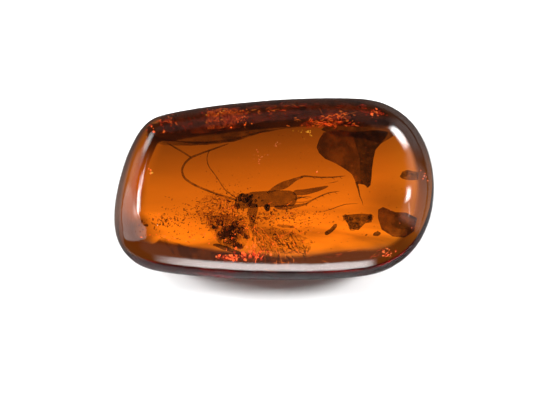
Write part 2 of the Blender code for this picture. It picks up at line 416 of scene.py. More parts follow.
@dataclass
class Stone:
    """The polished amber itself, one clear solid."""

    outline: Outline
    thickness: float = 8.5
    dome: float = 0.5
    dome_half_length: float = 20.0
    dome_half_width: float = 11.8
    dome_power: float = 2.5
    girth_height: float = 3.8
    shoulder_left: float = 3.95
    shoulder_gain: float = 3.15
    shoulder_to_front: float = 1.0
    corner_tuck: float = 0.9
    foot_ends: float = 3.5
    foot_sides: float = 4.4
    foot_to_front: float = 0.7
    spine: float = 0.55
    points: int = 288
    edge_steps: int = 26
    top_steps: int = 14
    wave_depth: float = 0.035   # hand polishing leaves the faces a little uneven
    wave_length: float = 4.5
    ripple_share: float = 0.4   # a finer wave on top of the long one
    ripple_rate: float = 2.7

    def shoulder(self, normal: Vector) -> float:
        """Inset of the rounded upper edge on the side that faces a direction.

        Args:
            normal: The direction that the side faces.

        Returns:
            The inset.
        """
        to_corner = max(0.0, (normal.y - normal.x) / math.sqrt(2))
        return (self.shoulder_left + self.shoulder_gain * ((1 + normal.x) / 2) ** 2
                + self.shoulder_to_front * max(0.0, -normal.y) ** 6
                - self.corner_tuck * to_corner ** 4)

    def foot_inset(self, normal: Vector) -> float:
        """Inset of the rounded lower edge on the side that faces a direction."""
        return (self.foot_ends + (self.foot_sides - self.foot_ends) * normal.y ** 2
                - self.foot_to_front * normal.y)

    def swell(self, point: Vector) -> float:
        """Height that the dome adds at a point, about none at the outline, most at the middle.

        Args:
            point: The point.

        Returns:
            The height.
        """
        away = ((abs(point.x) / self.dome_half_length) ** self.dome_power
                + (abs(point.y) / self.dome_half_width) ** self.dome_power)
        return self.dome * (1 - away)

    def lower_ring(self, rim: list, turn: float) -> list[Vector]:
        """Ring of the rounded lower edge, from the flat base (0) to the girth (90 degrees).

        Args:
            rim: The outline points with their outward normals.
            turn: How far up the edge, in radians.

        Returns:
            The ring's points, in millimetres.
        """
        height = self.girth_height * (1 - math.cos(turn))
        return [edge - normal * self.foot_inset(normal) * (1 - math.sin(turn))
                + Vector((0, 0, height)) for edge, normal in rim]

    def upper_ring(self, rim: list, turn: float) -> list[Vector]:
        """Ring of the rounded upper edge, from the girth (0) to the top (90 degrees).

        Args:
            rim: The outline points with their outward normals.
            turn: How far up the edge, in radians.

        Returns:
            The ring's points, in millimetres.
        """
        rise = self.thickness - self.dome - self.girth_height
        ring = []
        for edge, normal in rim:
            point = edge - normal * self.shoulder(normal) * (1 - math.cos(turn))
            height = self.girth_height + (rise + self.swell(point)) * math.sin(turn)
            ring.append(point + Vector((0, 0, height)))
        return ring

    def top_ring(self, rim: list, share: float) -> list[Vector]:
        """Ring of the domed top, at a share of the way from a spine along it to its shoulder.

        Points that mirror each other share their place on the spine.

        Args:
            rim: The outline points with their outward normals.
            share: The share of the way.

        Returns:
            The ring's points, in millimetres.
        """
        shoulders = [edge - normal * self.shoulder(normal) for edge, normal in rim]
        ring = []
        for i, shoulder in enumerate(shoulders):
            middle = Vector((self.spine * (shoulder.x + shoulders[-i].x) / 2, 0, 0))
            point = middle.lerp(shoulder, share)
            height = self.thickness - self.dome + self.swell(point)
            ring.append(point + Vector((0, 0, height)))
        return ring

    def polish(self, bm: Mesh) -> None:
        """Give the finished form the slight unevenness of hand polishing.

        Args:
            bm: The stone's mesh.
        """
        for vertex in bm.verts:
            place = vertex.co / MM
            wave = (noise.noise(place / self.wave_length)
                    + self.ripple_share * noise.noise(place / self.wave_length * self.ripple_rate))
            rise = min(1.0, place.z / self.girth_height)
            outwards = Vector((place.x / self.dome_half_length ** 2,
                               place.y / self.dome_half_width ** 2,
                               (place.z - self.girth_height) / self.girth_height ** 2))
            vertex.co += outwards.normalized() * (wave * rise * self.wave_depth * MM)

    def build(self) -> Mesh:
        """Model the stone from its base up.

        Returns:
            The closed mesh, in metres.
        """
        rim = self.outline.rim(self.points)
        quarter = [math.pi / 2 * i / self.edge_steps for i in range(self.edge_steps + 1)]
        rings = [self.lower_ring(rim, turn) for turn in quarter]
        rings += [self.upper_ring(rim, turn) for turn in quarter[1:]]
        rings += [self.top_ring(rim, 1 - i / self.top_steps) for i in range(1, self.top_steps + 1)]
        bm = bmesh.new()
        ring = first_ring(bm, [point * MM for point in rings[0]])
        for points in rings[1:]:
            ring = next_ring(bm, ring, [point * MM for point in points])
        bmesh.ops.remove_doubles(bm, verts=ring, dist=0.001 * MM)
        self.polish(bm)
        bmesh.ops.recalc_face_normals(bm, faces=bm.faces[:])
        return bm


# ---------------------------------------------------------------- finishes
class Wiring:
    """Adds nodes to a node tree and sets or links their inputs."""

    def __init__(self, tree: bpy.types.NodeTree) -> None:
        """Work on one tree."""
        self.tree = tree

    @property
    def shader(self) -> bpy.types.Node:
        """The material's Principled shader."""
        return self.tree.nodes["Principled BSDF"]

    @property
    def place(self) -> Socket:
        """A new output that carries the place on the piece, in metres."""
        return self.add("TexCoord").outputs["Object"]

    def feed(self, node: bpy.types.Node, inputs: dict) -> None:
        """Set or link some of a node's inputs.

        Args:
            node: The node.
            inputs: A plain value or an output for each input, which is named or numbered.
        """
        for key, given in inputs.items():
            if isinstance(given, Socket):
                self.tree.links.new(given, node.inputs[key])
            else:
                node.inputs[key].default_value = given

    def add(self, kind: str, inputs: dict | None = None, **settings: object) -> bpy.types.Node:
        """Add a node.

        Args:
            kind: Its type, without "ShaderNode" in front.
            inputs: What its inputs are set or linked to.
            settings: Its other properties.

        Returns:
            The new node.
        """
        node = self.tree.nodes.new("ShaderNode" + kind)
        for key, setting in settings.items():
            setattr(node, key, setting)
        self.feed(node, inputs or {})
        return node

    def ramp(self, value: Socket, start: float, end: float, low: float, high: float,
             curve: str = "SMOOTHSTEP") -> Socket:
        """Carry a value from one range over to another.

        Args:
            value: The output to carry over.
            start: Where its range starts.
            end: Where its range ends.
            low: The result at the start.
            high: The result at the end.
            curve: The way from one to the other.

        Returns:
            The output that carries the result.
        """
        inputs = {"Value": value, "From Min": start, "From Max": end, "To Min": low,
                  "To Max": high}
        return self.add("MapRange", inputs, interpolation_type=curve).outputs["Result"]

    def sum(self, operation: str, *terms: Socket | float) -> Socket:
        """Work out one sum.

        Args:
            operation: The kind of sum.
            terms: Its terms, each a plain value or an output.

        Returns:
            The output that carries the result.
        """
        return self.add("Math", dict(enumerate(terms)), operation=operation).outputs[0]


def new_material(name: str, inputs: dict) -> tuple[Material, Wiring]:
    """Make a material whose Principled shader has some inputs set.

    Args:
        name: The material's name.
        inputs: The values of the shader's inputs.

    Returns:
        The material and the wiring of its tree.
    """
    material = bpy.data.materials.new(name)
    material.use_nodes = True
    wiring = Wiring(material.node_tree)
    wiring.feed(wiring.shader, inputs)
    return material, wiring


@dataclass(frozen=True)
class AmberFinish:
    """Clear amber: light is lost along its way, blue first, then green."""

    name: str = "clear_amber"
    ior: float = 1.54
    roughness: float = 0.02
    loss_per_metre: Triple = (20.0, 218.0, 700.0)

    def make(self) -> Material:
        """Make the material.

        Returns:
            A Principled glass with a Volume Absorption behind its surface.
        """
        material, wiring = new_material(self.name, {
            "Base Color": WHITE, "Transmission Weight": 1.0, "Roughness": self.roughness,
            "IOR": self.ior})
        densest = max(self.loss_per_metre)
        colour = (*(1 - loss / densest for loss in self.loss_per_metre), 1)
        absorb = wiring.add("VolumeAbsorption", {"Color": colour, "Density": densest})
        wiring.feed(wiring.tree.nodes["Material Output"], {"Volume": absorb.outputs[0]})
        return material


def mottle_group() -> bpy.types.NodeTree:
    """Make the shared node group that clouds two colours into each other.

    Returns:
        The group: Position, Scale, Stretch, Dark and Light in; Colour, Mask and Relief out.
    """
    tree = bpy.data.node_groups.new("mottle", "ShaderNodeTree")
    for name, way, kind in (("Position", "INPUT", "Vector"), ("Scale", "INPUT", "Float"),
                            ("Stretch", "INPUT", "Vector"), ("Dark", "INPUT", "Color"),
                            ("Light", "INPUT", "Color"), ("Colour", "OUTPUT", "Color"),
                            ("Mask", "OUTPUT", "Float"), ("Relief", "OUTPUT", "Float")):
        tree.interface.new_socket(name, in_out=way, socket_type="NodeSocket" + kind)
    wiring = Wiring(tree)
    given = tree.nodes.new("NodeGroupInput").outputs
    size = wiring.add("VectorMath", {0: given["Position"], 1: given["Stretch"]},
                      operation="MULTIPLY")
    cloud = wiring.add("TexNoise", {"Vector": size.outputs[0], "Scale": given["Scale"],
                                    "Detail": 4.0, "Roughness": 0.6}).outputs["Fac"]
    dark_below, light_above = 0.36, 0.66
    mask = wiring.ramp(cloud, dark_below, light_above, 0.0, 1.0)
    blend = wiring.add("Mix", data_type="RGBA")
    factor, first, second, result = 0, 6, 7, 2   # this node's sockets for colours
    wiring.feed(blend, {factor: mask, first: given["Dark"], second: given["Light"]})
    wiring.feed(tree.nodes.new("NodeGroupOutput"),
                {"Colour": blend.outputs[result], "Mask": mask, "Relief": cloud})
    return tree


@dataclass(frozen=True)
class SealedFinish:
    """The finish of something sealed in amber: two clouded colours, a little see-through.

    The opacity is given where the clouds are dark and where they are light. The glow is painted
    light: it makes the piece shine where light would reach it through the amber.
    """

    name: str
    dark: Triple
    light: Triple
    clouds_per_mm: float = 1.5
    stretch: Triple = (1.0, 1.0, 1.0)
    opacity: tuple[float, float] = (1.0, 1.0)
    roughness: float = 0.6
    relief_mm: float = 0.04
    # painted light: how strongly the clouded colour glows
    glow: float = 0.0

    def make(self, clouds: bpy.types.NodeTree) -> Material:
        """Make the material.

        Args:
            clouds: The shared mottle group.

        Returns:
            A Principled material whose colour, opacity and relief follow the clouds.
        """
        material, wiring = new_material(self.name, {
            "Roughness": self.roughness, "Specular IOR Level": 0.2})
        mottle = wiring.add("Group", node_tree=clouds)
        wiring.feed(mottle, {"Position": wiring.place, "Scale": self.clouds_per_mm / MM,
                             "Stretch": self.stretch, "Dark": (*self.dark, 1),
                             "Light": (*self.light, 1)})
        colour = mottle.outputs["Colour"]
        bump = wiring.add("Bump", {"Distance": self.relief_mm * MM,
                                   "Height": mottle.outputs["Relief"]})
        wiring.feed(wiring.shader, {
            "Base Color": colour, "Normal": bump.outputs["Normal"],
            "Alpha": wiring.ramp(mottle.outputs["Mask"], 0.0, 1.0, *self.opacity, "LINEAR")})
        # painted light: the clouded colour glows in place of light reaching the piece through the
        # amber
        if self.glow:
            wiring.feed(wiring.shader, {"Emission Color": colour, "Emission Strength": self.glow})
        return material


@dataclass
class Workshop:
    """Turns finished shapes into pieces that ride with the stone."""

    clouds: bpy.types.NodeTree

    def add(self, name: str, bm: Mesh, slot: str, materials: list,
            replaces: tuple[str, ...] = (), smooth_degrees: float = 40.0) -> None:
        """Put a piece in the scene.

        Args:
            name: The piece's name.
            bm: Its closed mesh, which is used up.
            slot: Not used.
            materials: Its materials, in the order of the mesh's material numbers.
            replaces: The frame's nodes that it stands for.
            smooth_degrees: Edges sharper than this stay sharp.
        """
        mesh = bpy.data.meshes.new(name)
        bm.to_mesh(mesh)
        bm.free()
        mesh.shade_smooth()
        mesh.set_sharp_from_angle(angle=math.radians(smooth_degrees))
        for material in materials:
            mesh.materials.append(material)
        piece = bpy.data.objects.new(name, mesh)
        bpy.context.scene.collection.objects.link(piece)
        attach(piece, BODY)
        if replaces:
            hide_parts(*replaces)
        LOG.info("%s: %d faces", name, len(mesh.polygons))

    def seal(self, name: str, clay: Sculptor, slot: str, finishes: list[SealedFinish],
             replaces: tuple[str, ...] = (), smooth_degrees: float = 40.0) -> None:
        """Put in a piece that lies inside the amber.

        Args:
            name: The piece's name.
            clay: The sculptor that holds its shape.
            slot: Handed on to add.
            finishes: Its finishes, in the order of the shape's material numbers.
            replaces: The frame's nodes that it stands for.
            smooth_degrees: Edges sharper than this stay sharp.
        """
        materials = [finish.make(self.clouds) for finish in finishes]
        self.add(name, clay.done(), slot, materials, replaces, smooth_degrees)


# ---------------------------------------------------------------- studio
class Ray(Enum):
    """Kinds of sight that a piece of the stage may show itself to."""

    CAMERA = "visible_camera"
    DIFFUSE = "visible_diffuse"
    GLOSSY = "visible_glossy"
    THROUGH = "visible_transmission"
    SHADOW = "visible_shadow"


def aim(azimuth: float, elevation: float, distance: float) -> Vector:
    """Return the place in a direction from the stone; azimuth 0 is the front and 90 the right.

    Args:
        azimuth: The direction in plan, in degrees.
        elevation: How far above the floor it lies, in degrees.
        distance: How far away it is.

    Returns:
        The place, in the unit of the distance.
    """
    a, e = math.radians(azimuth), math.radians(elevation)
    flat = distance * math.cos(e)
    return Vector((flat * math.sin(a), -flat * math.cos(a), distance * math.sin(e)))


@dataclass(frozen=True)
class Softbox:
    """A soft light panel that points at the stone: directions in degrees, sizes in metres.

    The softness is the share of its half width over which it fades out.
    """

    name: str
    azimuth: float
    elevation: float
    width: float
    height: float
    brightness: float
    softness: float
    roll: float = 0.0
    distance: float = 0.4


@dataclass(frozen=True)
class Lamp:
    """A square lamp above the stone, pointed at it; the size and the distance are in metres."""

    name: str
    azimuth: float
    elevation: float
    size: float
    watts: float
    distance: float = 0.5


@dataclass(frozen=True)
class Glow:
    """Soft light from a sheet below the stone, ramped from one side to another.

    The ramp runs along a direction in plan; its start and end are in millimetres.
    """

    towards: Triple
    start: float
    end: float
    low: float
    high: float

    def strength(self, wiring: Wiring) -> Socket:
        """Wire the ramp.

        Args:
            wiring: The wiring of the sheet's material.

        Returns:
            The output that carries the strength.
        """
        along = wiring.add("VectorMath", {0: wiring.place, 1: self.towards},
                           operation="DOT_PRODUCT")
        return wiring.ramp(along.outputs["Value"], self.start * MM, self.end * MM, self.low,
                           self.high)


@dataclass(frozen=True)
class Pool:
    """A soft oval pool of light, or of shade, on a sheet; sizes are in millimetres."""

    x: float
    y: float
    half_length: float
    half_width: float
    brightness: float

    def strength(self, wiring: Wiring) -> Socket:
        """Wire the pool.

        Args:
            wiring: The wiring of the sheet's material.

        Returns:
            The output that carries what the pool adds.
        """
        local = wiring.add("Mapping", {
            "Vector": wiring.place, "Location": (self.x * MM, self.y * MM, 0),
            "Scale": (self.half_length * MM, self.half_width * MM, 1)}, vector_type="TEXTURE")
        away = wiring.add("VectorMath", {0: local.outputs[0]}, operation="LENGTH")
        return wiring.ramp(away.outputs["Value"], 0.0, 1.0, self.brightness, 0.0)


@dataclass(frozen=True)
class Card:
    """The bright card under the flat base.

    How far it passes the base's edge, or stays behind it, differs from side to side.
    """

    level: float = -0.2
    grey: float = 0.1
    points: int = 96
    passes_back_left: float = 0.9
    passes_front_left: float = -0.3
    passes_front_right: float = 0.5
    passes_back_right: float = 0.55
    passes_front: float = 0.4     # in the middle of the front only
    front_middle: float = 1.0
    front_width: float = 6.0
    power: int = 4                # how soon a side's share gives way to the next one's
    fade: float = 0.2             # width of the soft edge
    fade_right: float = 0.3       # what the right adds to it
    fade_front: float = 0.15      # what the front adds to it
    slant: tuple[float, float] = (0.05, 0.22)   # where slanted sight of it dims
    slant_dim: float = 0.15
    streaks: float = 0.5
    streak_noise: tuple[float, float] = (0.3, 0.7)     # noise of the darkest and the brightest
    streak_scale: tuple[float, float] = (0.09, 0.55)   # per millimetre, along and across
    streak_turn: float = -4.0
    streak_front: tuple[float, float] = (-1.0, -5.0)   # y at which they start and are full
    streak_least: float = 0.1

    def overhang(self, point: Vector, normal: Vector) -> float:
        """How far the card passes the base's edge at a point of the outline.

        Args:
            point: The point.
            normal: Its outward normal.

        Returns:
            The overhang, less than none where the card stays behind the edge.
        """
        corners = ((-1, 1, self.passes_back_left), (-1, -1, self.passes_front_left),
                   (1, -1, self.passes_front_right), (1, 1, self.passes_back_right))
        total = 0.0
        for x, y, passes in corners:
            share = max(0.0, (x * normal.x + y * normal.y) / math.sqrt(2))
            total += passes * share ** self.power
        swell = math.exp(-((point.x - self.front_middle) / self.front_width) ** 2)
        return total + self.passes_front * max(0.0, -normal.y) ** self.power * swell

    def soft_edge(self, normal: Vector) -> float:
        """Width of the card's soft edge on the side that faces a direction."""
        return (self.fade + self.fade_right * max(0.0, normal.x) ** 2
                + self.fade_front * max(0.0, -normal.y))


@dataclass
class Studio:
    """Pale floor, white wall, what the amber shows from below, soft panels, lamps and camera.

    Sizes are in metres; those of glows, pools and the card are in millimetres.
    """

    outline: Outline
    stone: Stone
    floor_half: float = 1.6
    floor_level: float = -0.0004
    floor_grey: float = 0.85
    wall_radius: float = 0.4
    wall_height: float = 0.7
    wall_sides: int = 96
    sheen_half: float = 0.09
    sheen_level: float = -0.0005
    sheen_glow: Glow = Glow((0, 1, 0), -11.5, 20.0, 0.26, 0.1)
    sheen_pools: tuple[Pool, ...] = (
        Pool(-45.0, 0.0, 28.0, 24.0, 1.0),
        Pool(38.0, 0.0, 24.0, 26.0, 0.45),
        Pool(38.0, 24.0, 30.0, 24.0, 0.6),
    )
    front_sheen_half: float = 0.028
    front_sheen_level: float = -0.00052
    front_sheen_grey: float = 0.36
    shade_half: float = 0.1
    shade_level: float = -0.00055
    front_edge: float = -0.0115   # where the shade ends and the floor's sheen starts
    camera_elevation: float = 77.0
    camera_distance: float = 0.190
    camera_target: Triple = (0.0, -0.0026, 0.004)
    camera_nearest: float = 0.001
    lens: float = 100.0
    film_width: float = 36.0
    card: Card = Card()
    card_glow: Glow = Glow((0.08, -1.0, 0.0), -10.5, 7.5, 0.17, 1.32)
    # painted light and shade: pools that brighten or darken parts of the card seen through the stone
    card_pools: tuple[Pool, ...] = (
        Pool(14.5, -1.6, 6.0, 4.2, -0.56),
        Pool(-17.2, 0.0, 1.6, 6.0, -0.6),
        Pool(-16.9, -4.6, 2.0, 2.4, -1.3),
        Pool(-15.9, -5.6, 1.6, 1.1, -1.0),
        Pool(-0.5, -5.3, 4.0, 1.7, -0.45),
        Pool(4.6, -5.0, 5.0, 0.6, -0.32),
        Pool(0.8, -3.9, 4.0, 0.9, 0.22),
        Pool(-9.0, -4.8, 5.0, 2.4, -0.2),
        Pool(12.8, -6.6, 2.2, 2.0, -0.6),
    )
    ground_level: float = -0.0006
    ground_glow: Glow = Glow((0.0, -1.0, 0.0), -8.0, 6.0, 0.05, 0.16)
    ground_tint: Triple = (1.0, 0.8, 0.5)
    ground_pools: tuple[Pool, ...] = (
        Pool(-17.5, 1.2, 5.0, 6.0, 0.62),
        Pool(15.4, 0.0, 2.0, 6.0, 0.4),
        Pool(-2.0, 12.6, 5.0, 1.9, 0.75),
    )
    panels: tuple[Softbox, ...] = (
        Softbox("left_panel", -112, 61, 0.1, 0.1, 26.0, 0.9),
        Softbox("left_front_panel", -102, 49, 0.12, 0.18, 4.5, 1.0),
        Softbox("left_rear_panel", -125, 66.5, 0.07, 0.08, 13.0, 0.9),
        Softbox("left_haze_panel", -78, 29, 0.42, 0.74, 2.3, 0.22, roll=21.5),
        Softbox("left_side_panel", -114, 24, 0.15, 0.42, 1.1, 0.6),
        Softbox("left_back_panel", -128, 31, 0.11, 0.3, 7.0, 1.0),
        Softbox("right_back_panel", 131, 27.5, 0.13, 0.14, 34.0, 1.0),
        Softbox("right_spot", 98.5, 38.5, 0.05, 0.085, 26.0, 1.0),
        Softbox("right_line_panel", 89, 32.5, 0.1, 0.018, 3.4, 0.5, roll=-43),
        Softbox("right_haze_panel", 94, 14, 0.31, 0.56, 0.85, 0.5, roll=14),
        Softbox("right_rear_panel", 125, 27, 0.2, 0.14, 2.0, 1.0),
        Softbox("right_rear_haze_panel", 130, 8, 0.3, 0.3, 0.8, 0.8),
        Softbox("front_panel", 3, 3.5, 0.38, 0.24, 11.0, 0.65, roll=4),
        Softbox("front_haze_panel", 0, 30, 0.9, 0.36, 0.2, 0.7),
        Softbox("back_haze_panel", 180, 36, 0.8, 0.4, 0.15, 0.7),
    )
    lamps: tuple[Lamp, ...] = (
        Lamp("left_lamp", -100, 20, 0.12, 6.2),
        Lamp("right_lamp", 100, 30, 0.12, 3.7),
        Lamp("right_rear_lamp", 115, 20, 0.31, 2.8),
        Lamp("left_rear_lamp", -115, 30, 0.12, 1.55),
        Lamp("fill_lamp", 0, 60, 1.0, 0.32),
    )
    room_grey: float = 0.05

    def matte(self, name: str, grey: float) -> tuple[Material, Wiring]:
        """Make a plain matte material of one grey, and the wiring of its tree."""
        return new_material(name, {"Base Color": (grey, grey, grey, 1), "Roughness": 0.9,
                                   "Specular IOR Level": 0.0})

    def stand(self, name: str, bm: Mesh, material: Material,
              *rays: Ray) -> None:
        """Turn a bmesh into a piece of the stage.

        Args:
            name: The piece's name.
            bm: Its mesh, which is used up.
            material: Its material.
            rays: The kinds of sight that it shows itself to.
        """
        mesh = bpy.data.meshes.new(name)
        bm.to_mesh(mesh)
        bm.free()
        mesh.materials.append(material)
        thing = bpy.data.objects.new(name, mesh)
        bpy.context.scene.collection.objects.link(thing)
        for ray in Ray:
            setattr(thing, ray.value, ray in rays)

    def sheet(self, name: str, half: float, y: float, z: float, material: Material,
              *rays: Ray) -> None:
        """Lay a square sheet.

        Args:
            name: The sheet's name.
            half: Half its width.
            y: Where its middle lies, towards the back.
            z: Its height.
            material: Its material.
            rays: The kinds of sight that it shows itself to.
        """
        bm = bmesh.new()
        bmesh.ops.create_grid(bm, size=half)
        bmesh.ops.translate(bm, verts=bm.verts[:], vec=(0, y, z))
        self.stand(name, bm, material, *rays)

    def strength(self, wiring: Wiring, glow: Glow, pools: tuple[Pool, ...]) -> Socket:
        """Wire a sheet's glow with its pools.

        Args:
            wiring: The wiring of the sheet's material.
            glow: Its glow.
            pools: Its pools.

        Returns:
            The output that carries the sum.
        """
        total = glow.strength(wiring)
        for pool in pools:
            total = wiring.sum("ADD", total, pool.strength(wiring))
        return total

    def shine(self, wiring: Wiring, tint: tuple, strength: Socket | float) -> None:
        """Let a matte material give off light of a tint."""
        wiring.feed(wiring.shader, {"Emission Color": tint, "Emission Strength": strength})

    def only_in_stone(self, wiring: Wiring, strength: Socket) -> Socket:
        """Return a strength that shows in the stone but lights no floor."""
        bounces = wiring.add("LightPath").outputs["Diffuse Depth"]
        return wiring.sum("MULTIPLY", strength, wiring.sum("LESS_THAN", bounces, 0.5))

    def wall(self) -> None:
        """Stand a white wall all around, which only the camera sees."""
        bm = bmesh.new()
        bmesh.ops.create_cone(bm, segments=self.wall_sides, radius1=self.wall_radius,
                              radius2=self.wall_radius, depth=self.wall_height)
        material, wiring = self.matte("wall", 0.0)
        self.shine(wiring, WHITE, 1.0)
        self.stand("wall", bm, material, Ray.CAMERA)

    def ground(self) -> None:
        """Lay the dim ground that is only seen through the stone's lower edge."""
        material, wiring = self.matte("ground_through_amber", 0.0)
        # painted light: the ground's ramp and pools stand in for the lit and shaded floor seen
        # through the edge
        strength = self.strength(wiring, self.ground_glow, self.ground_pools)
        self.shine(wiring, (*self.ground_tint, 1), self.only_in_stone(wiring, strength))
        self.sheet("ground_through_amber", self.floor_half, 0, self.ground_level, material,
                   Ray.THROUGH)

    def floor_sheen(self) -> None:
        """Lay the glowing sheet that only the stone's polish mirrors; its ramp and pools are painted
        light in place of the pale floor.
        """
        material, wiring = self.matte("floor_sheen", 0.0)
        self.shine(wiring, WHITE, self.strength(wiring, self.sheen_glow, self.sheen_pools))
        self.sheet("floor_sheen", self.sheen_half, self.front_edge + self.sheen_half,
                   self.sheen_level, material, Ray.GLOSSY)

    def light_card(self) -> None:
        """Lay the bright card, whose soft edge runs from 0 to 1 on its UV layer."""
        card = self.card
        rim, inner = [], []
        for point, normal in self.outline.rim(card.points):
            inset = self.stone.foot_inset(normal) - card.overhang(point, normal)
            spot = point - normal * inset + Vector((0, 0, card.level))
            rim.append(spot * MM)
            inner.append((spot - normal * card.soft_edge(normal)) * MM)
        bm = bmesh.new()
        layer = bm.loops.layers.uv.new("panel")
        middle = next_ring(bm, first_ring(bm, rim, capped=False), inner)
        bm.faces.new(middle)
        for face in bm.faces:
            for loop in face.loops:
                loop[layer].uv = (1.0 if loop.vert in middle else 0.0, 0.0)
        material, wiring = self.matte("light_card", card.grey)
        self.soften_card(wiring, self.strength(wiring, self.card_glow, self.card_pools))
        self.stand("light_card", bm, material, Ray.THROUGH)

    def soften_card(self, wiring: Wiring, strength: Socket) -> None:
        """Fade the card's glow at its edge and streak it where the stone gathers light.

        Args:
            wiring: The wiring of the card's material.
            strength: The output that carries the glow's strength so far.
        """
        card = self.card
        edge = wiring.add("SeparateXYZ", {0: wiring.add("UVMap").outputs[0]}).outputs["X"]
        facing = wiring.add("LayerWeight").outputs["Facing"]
        slant = wiring.ramp(facing, *card.slant, 1.0, card.slant_dim)
        place = wiring.place
        along, across = card.streak_scale
        drawn = wiring.add("Mapping", {
            "Vector": place, "Scale": (along / MM, across / MM, 0),
            "Rotation": (0, 0, math.radians(card.streak_turn))})
        noisy = wiring.add("TexNoise", {"Vector": drawn.outputs[0], "Scale": 1.0, "Detail": 3.0,
                                        "Distortion": 0.6}).outputs["Fac"]
        y = wiring.add("SeparateXYZ", {0: place}).outputs["Y"]
        start, full = card.streak_front
        depth = wiring.ramp(y, start * MM, full * MM, card.streak_least, 1.0, "LINEAR")
        swing = wiring.ramp(noisy, *card.streak_noise, -card.streaks, card.streaks, "LINEAR")
        strength = wiring.sum("MULTIPLY", strength, slant)
        strength = wiring.sum("MULTIPLY", strength, wiring.sum("MULTIPLY_ADD", swing, depth, 1.0))
        self.shine(wiring, WHITE, self.only_in_stone(wiring, strength))
        wiring.feed(wiring.shader, {"Alpha": wiring.ramp(edge, 0.0, 1.0, 0.0, 1.0)})

    def panel(self, box: Softbox) -> None:
        """Hang a soft panel, brightest at its middle, which hides nothing behind it.

        Args:
            box: The panel.
        """
        material, wiring = new_material(box.name, {})
        wiring.tree.nodes.remove(wiring.shader)
        across = wiring.add("SeparateXYZ", {0: wiring.add("UVMap").outputs[0]})
        strength = box.brightness
        for axis in ("X", "Y"):
            away = wiring.sum("ABSOLUTE", wiring.sum("SUBTRACT", across.outputs[axis], 0.5))
            fade = wiring.ramp(away, 0.5 * (1 - box.softness), 0.5, 1.0, 0.0, "SMOOTHERSTEP")
            strength = wiring.sum("MULTIPLY", fade, strength)
        glow = wiring.add("Emission", {"Strength": strength})
        clear = wiring.add("BsdfTransparent")
        both = wiring.add("AddShader", {0: glow.outputs[0], 1: clear.outputs[0]})
        wiring.feed(wiring.tree.nodes["Material Output"], {"Surface": both.outputs[0]})
        bm = bmesh.new()
        layer = bm.loops.layers.uv.new("panel")
        bmesh.ops.create_grid(bm, size=0.5)
        for face in bm.faces:
            for loop in face.loops:
                loop[layer].uv = (loop.vert.co.x + 0.5, loop.vert.co.y + 0.5)
        place = aim(box.azimuth, box.elevation, box.distance)
        towards = (-place).to_track_quat("Z", "Y").to_matrix().to_4x4()
        turn = Matrix.Rotation(math.radians(box.roll), 4, "Z")
        size = Matrix.Diagonal((box.width, box.height, 1, 1))
        bm.transform(Matrix.Translation(place) @ towards @ turn @ size)
        self.stand(box.name, bm, material, Ray.GLOSSY)

    def lamp(self, lamp: Lamp) -> None:
        """Hang a lamp that lights the floor but isn't mirrored or seen in the stone.

        Args:
            lamp: The lamp.
        """
        light = bpy.data.lights.new(lamp.name, "AREA")
        light.size = lamp.size
        light.energy = lamp.watts
        thing = bpy.data.objects.new(lamp.name, light)
        bpy.context.scene.collection.objects.link(thing)
        thing.location = aim(lamp.azimuth, lamp.elevation, lamp.distance)
        thing.rotation_euler = (-thing.location).to_track_quat("-Z", "Y").to_euler()
        for ray in (Ray.CAMERA, Ray.GLOSSY, Ray.THROUGH):
            setattr(thing, ray.value, False)

    def camera(self) -> None:
        """Set the camera up above the front edge, looking down on the stone."""
        data = bpy.data.cameras.new("camera")
        data.lens = self.lens
        data.sensor_width = self.film_width
        data.clip_start = self.camera_nearest
        eye = bpy.data.objects.new("camera", data)
        bpy.context.scene.collection.objects.link(eye)
        target = Vector(self.camera_target)
        tilt = math.radians(self.camera_elevation)
        eye.location = target + Vector((0, -math.cos(tilt), math.sin(tilt))) * self.camera_distance
        eye.rotation_euler = (target - eye.location).to_track_quat("-Z", "Y").to_euler()
        bpy.context.scene.camera = eye

    def room(self) -> None:
        """Fill the room around with a dim light and show colours as they are."""
        world = bpy.data.worlds.new("studio")
        world.use_nodes = True
        grey = (self.room_grey, self.room_grey, self.room_grey, 1)
        world.node_tree.nodes["Background"].inputs["Color"].default_value = grey
        bpy.context.scene.world = world
        bpy.context.scene.view_settings.view_transform = "Standard"

    def build(self) -> None:
        """Set the whole stage."""
        floor, _ = self.matte("floor", self.floor_grey)
        self.sheet("floor", self.floor_half, 0, self.floor_level, floor, Ray.CAMERA, Ray.DIFFUSE)
        self.wall()
        self.ground()
        shade, _ = self.matte("front_shade", 0.0)
        self.sheet("front_shade", self.shade_half, self.front_edge - self.shade_half,
                   self.shade_level, shade, Ray.THROUGH)
        self.floor_sheen()
        sheen, _ = self.matte("front_sheen", self.front_sheen_grey)
        self.sheet("front_sheen", self.front_sheen_half, 0, self.front_sheen_level, sheen,
                   Ray.GLOSSY)
        self.light_card()
        for box in self.panels:
            self.panel(box)
        for lamp in self.lamps:
            self.lamp(lamp)
        LOG.info("stage: %d panels, %d lamps", len(self.panels), len(self.lamps))
        self.room()
        self.camera()


# ---------------------------------------------------------------- the specimen
class Part(IntEnum):
    """Material numbers of the cricket's parts."""

    HEAD = 0
    BODY = 1
    LEG = 2
    WING = 3
    FEELER = 4


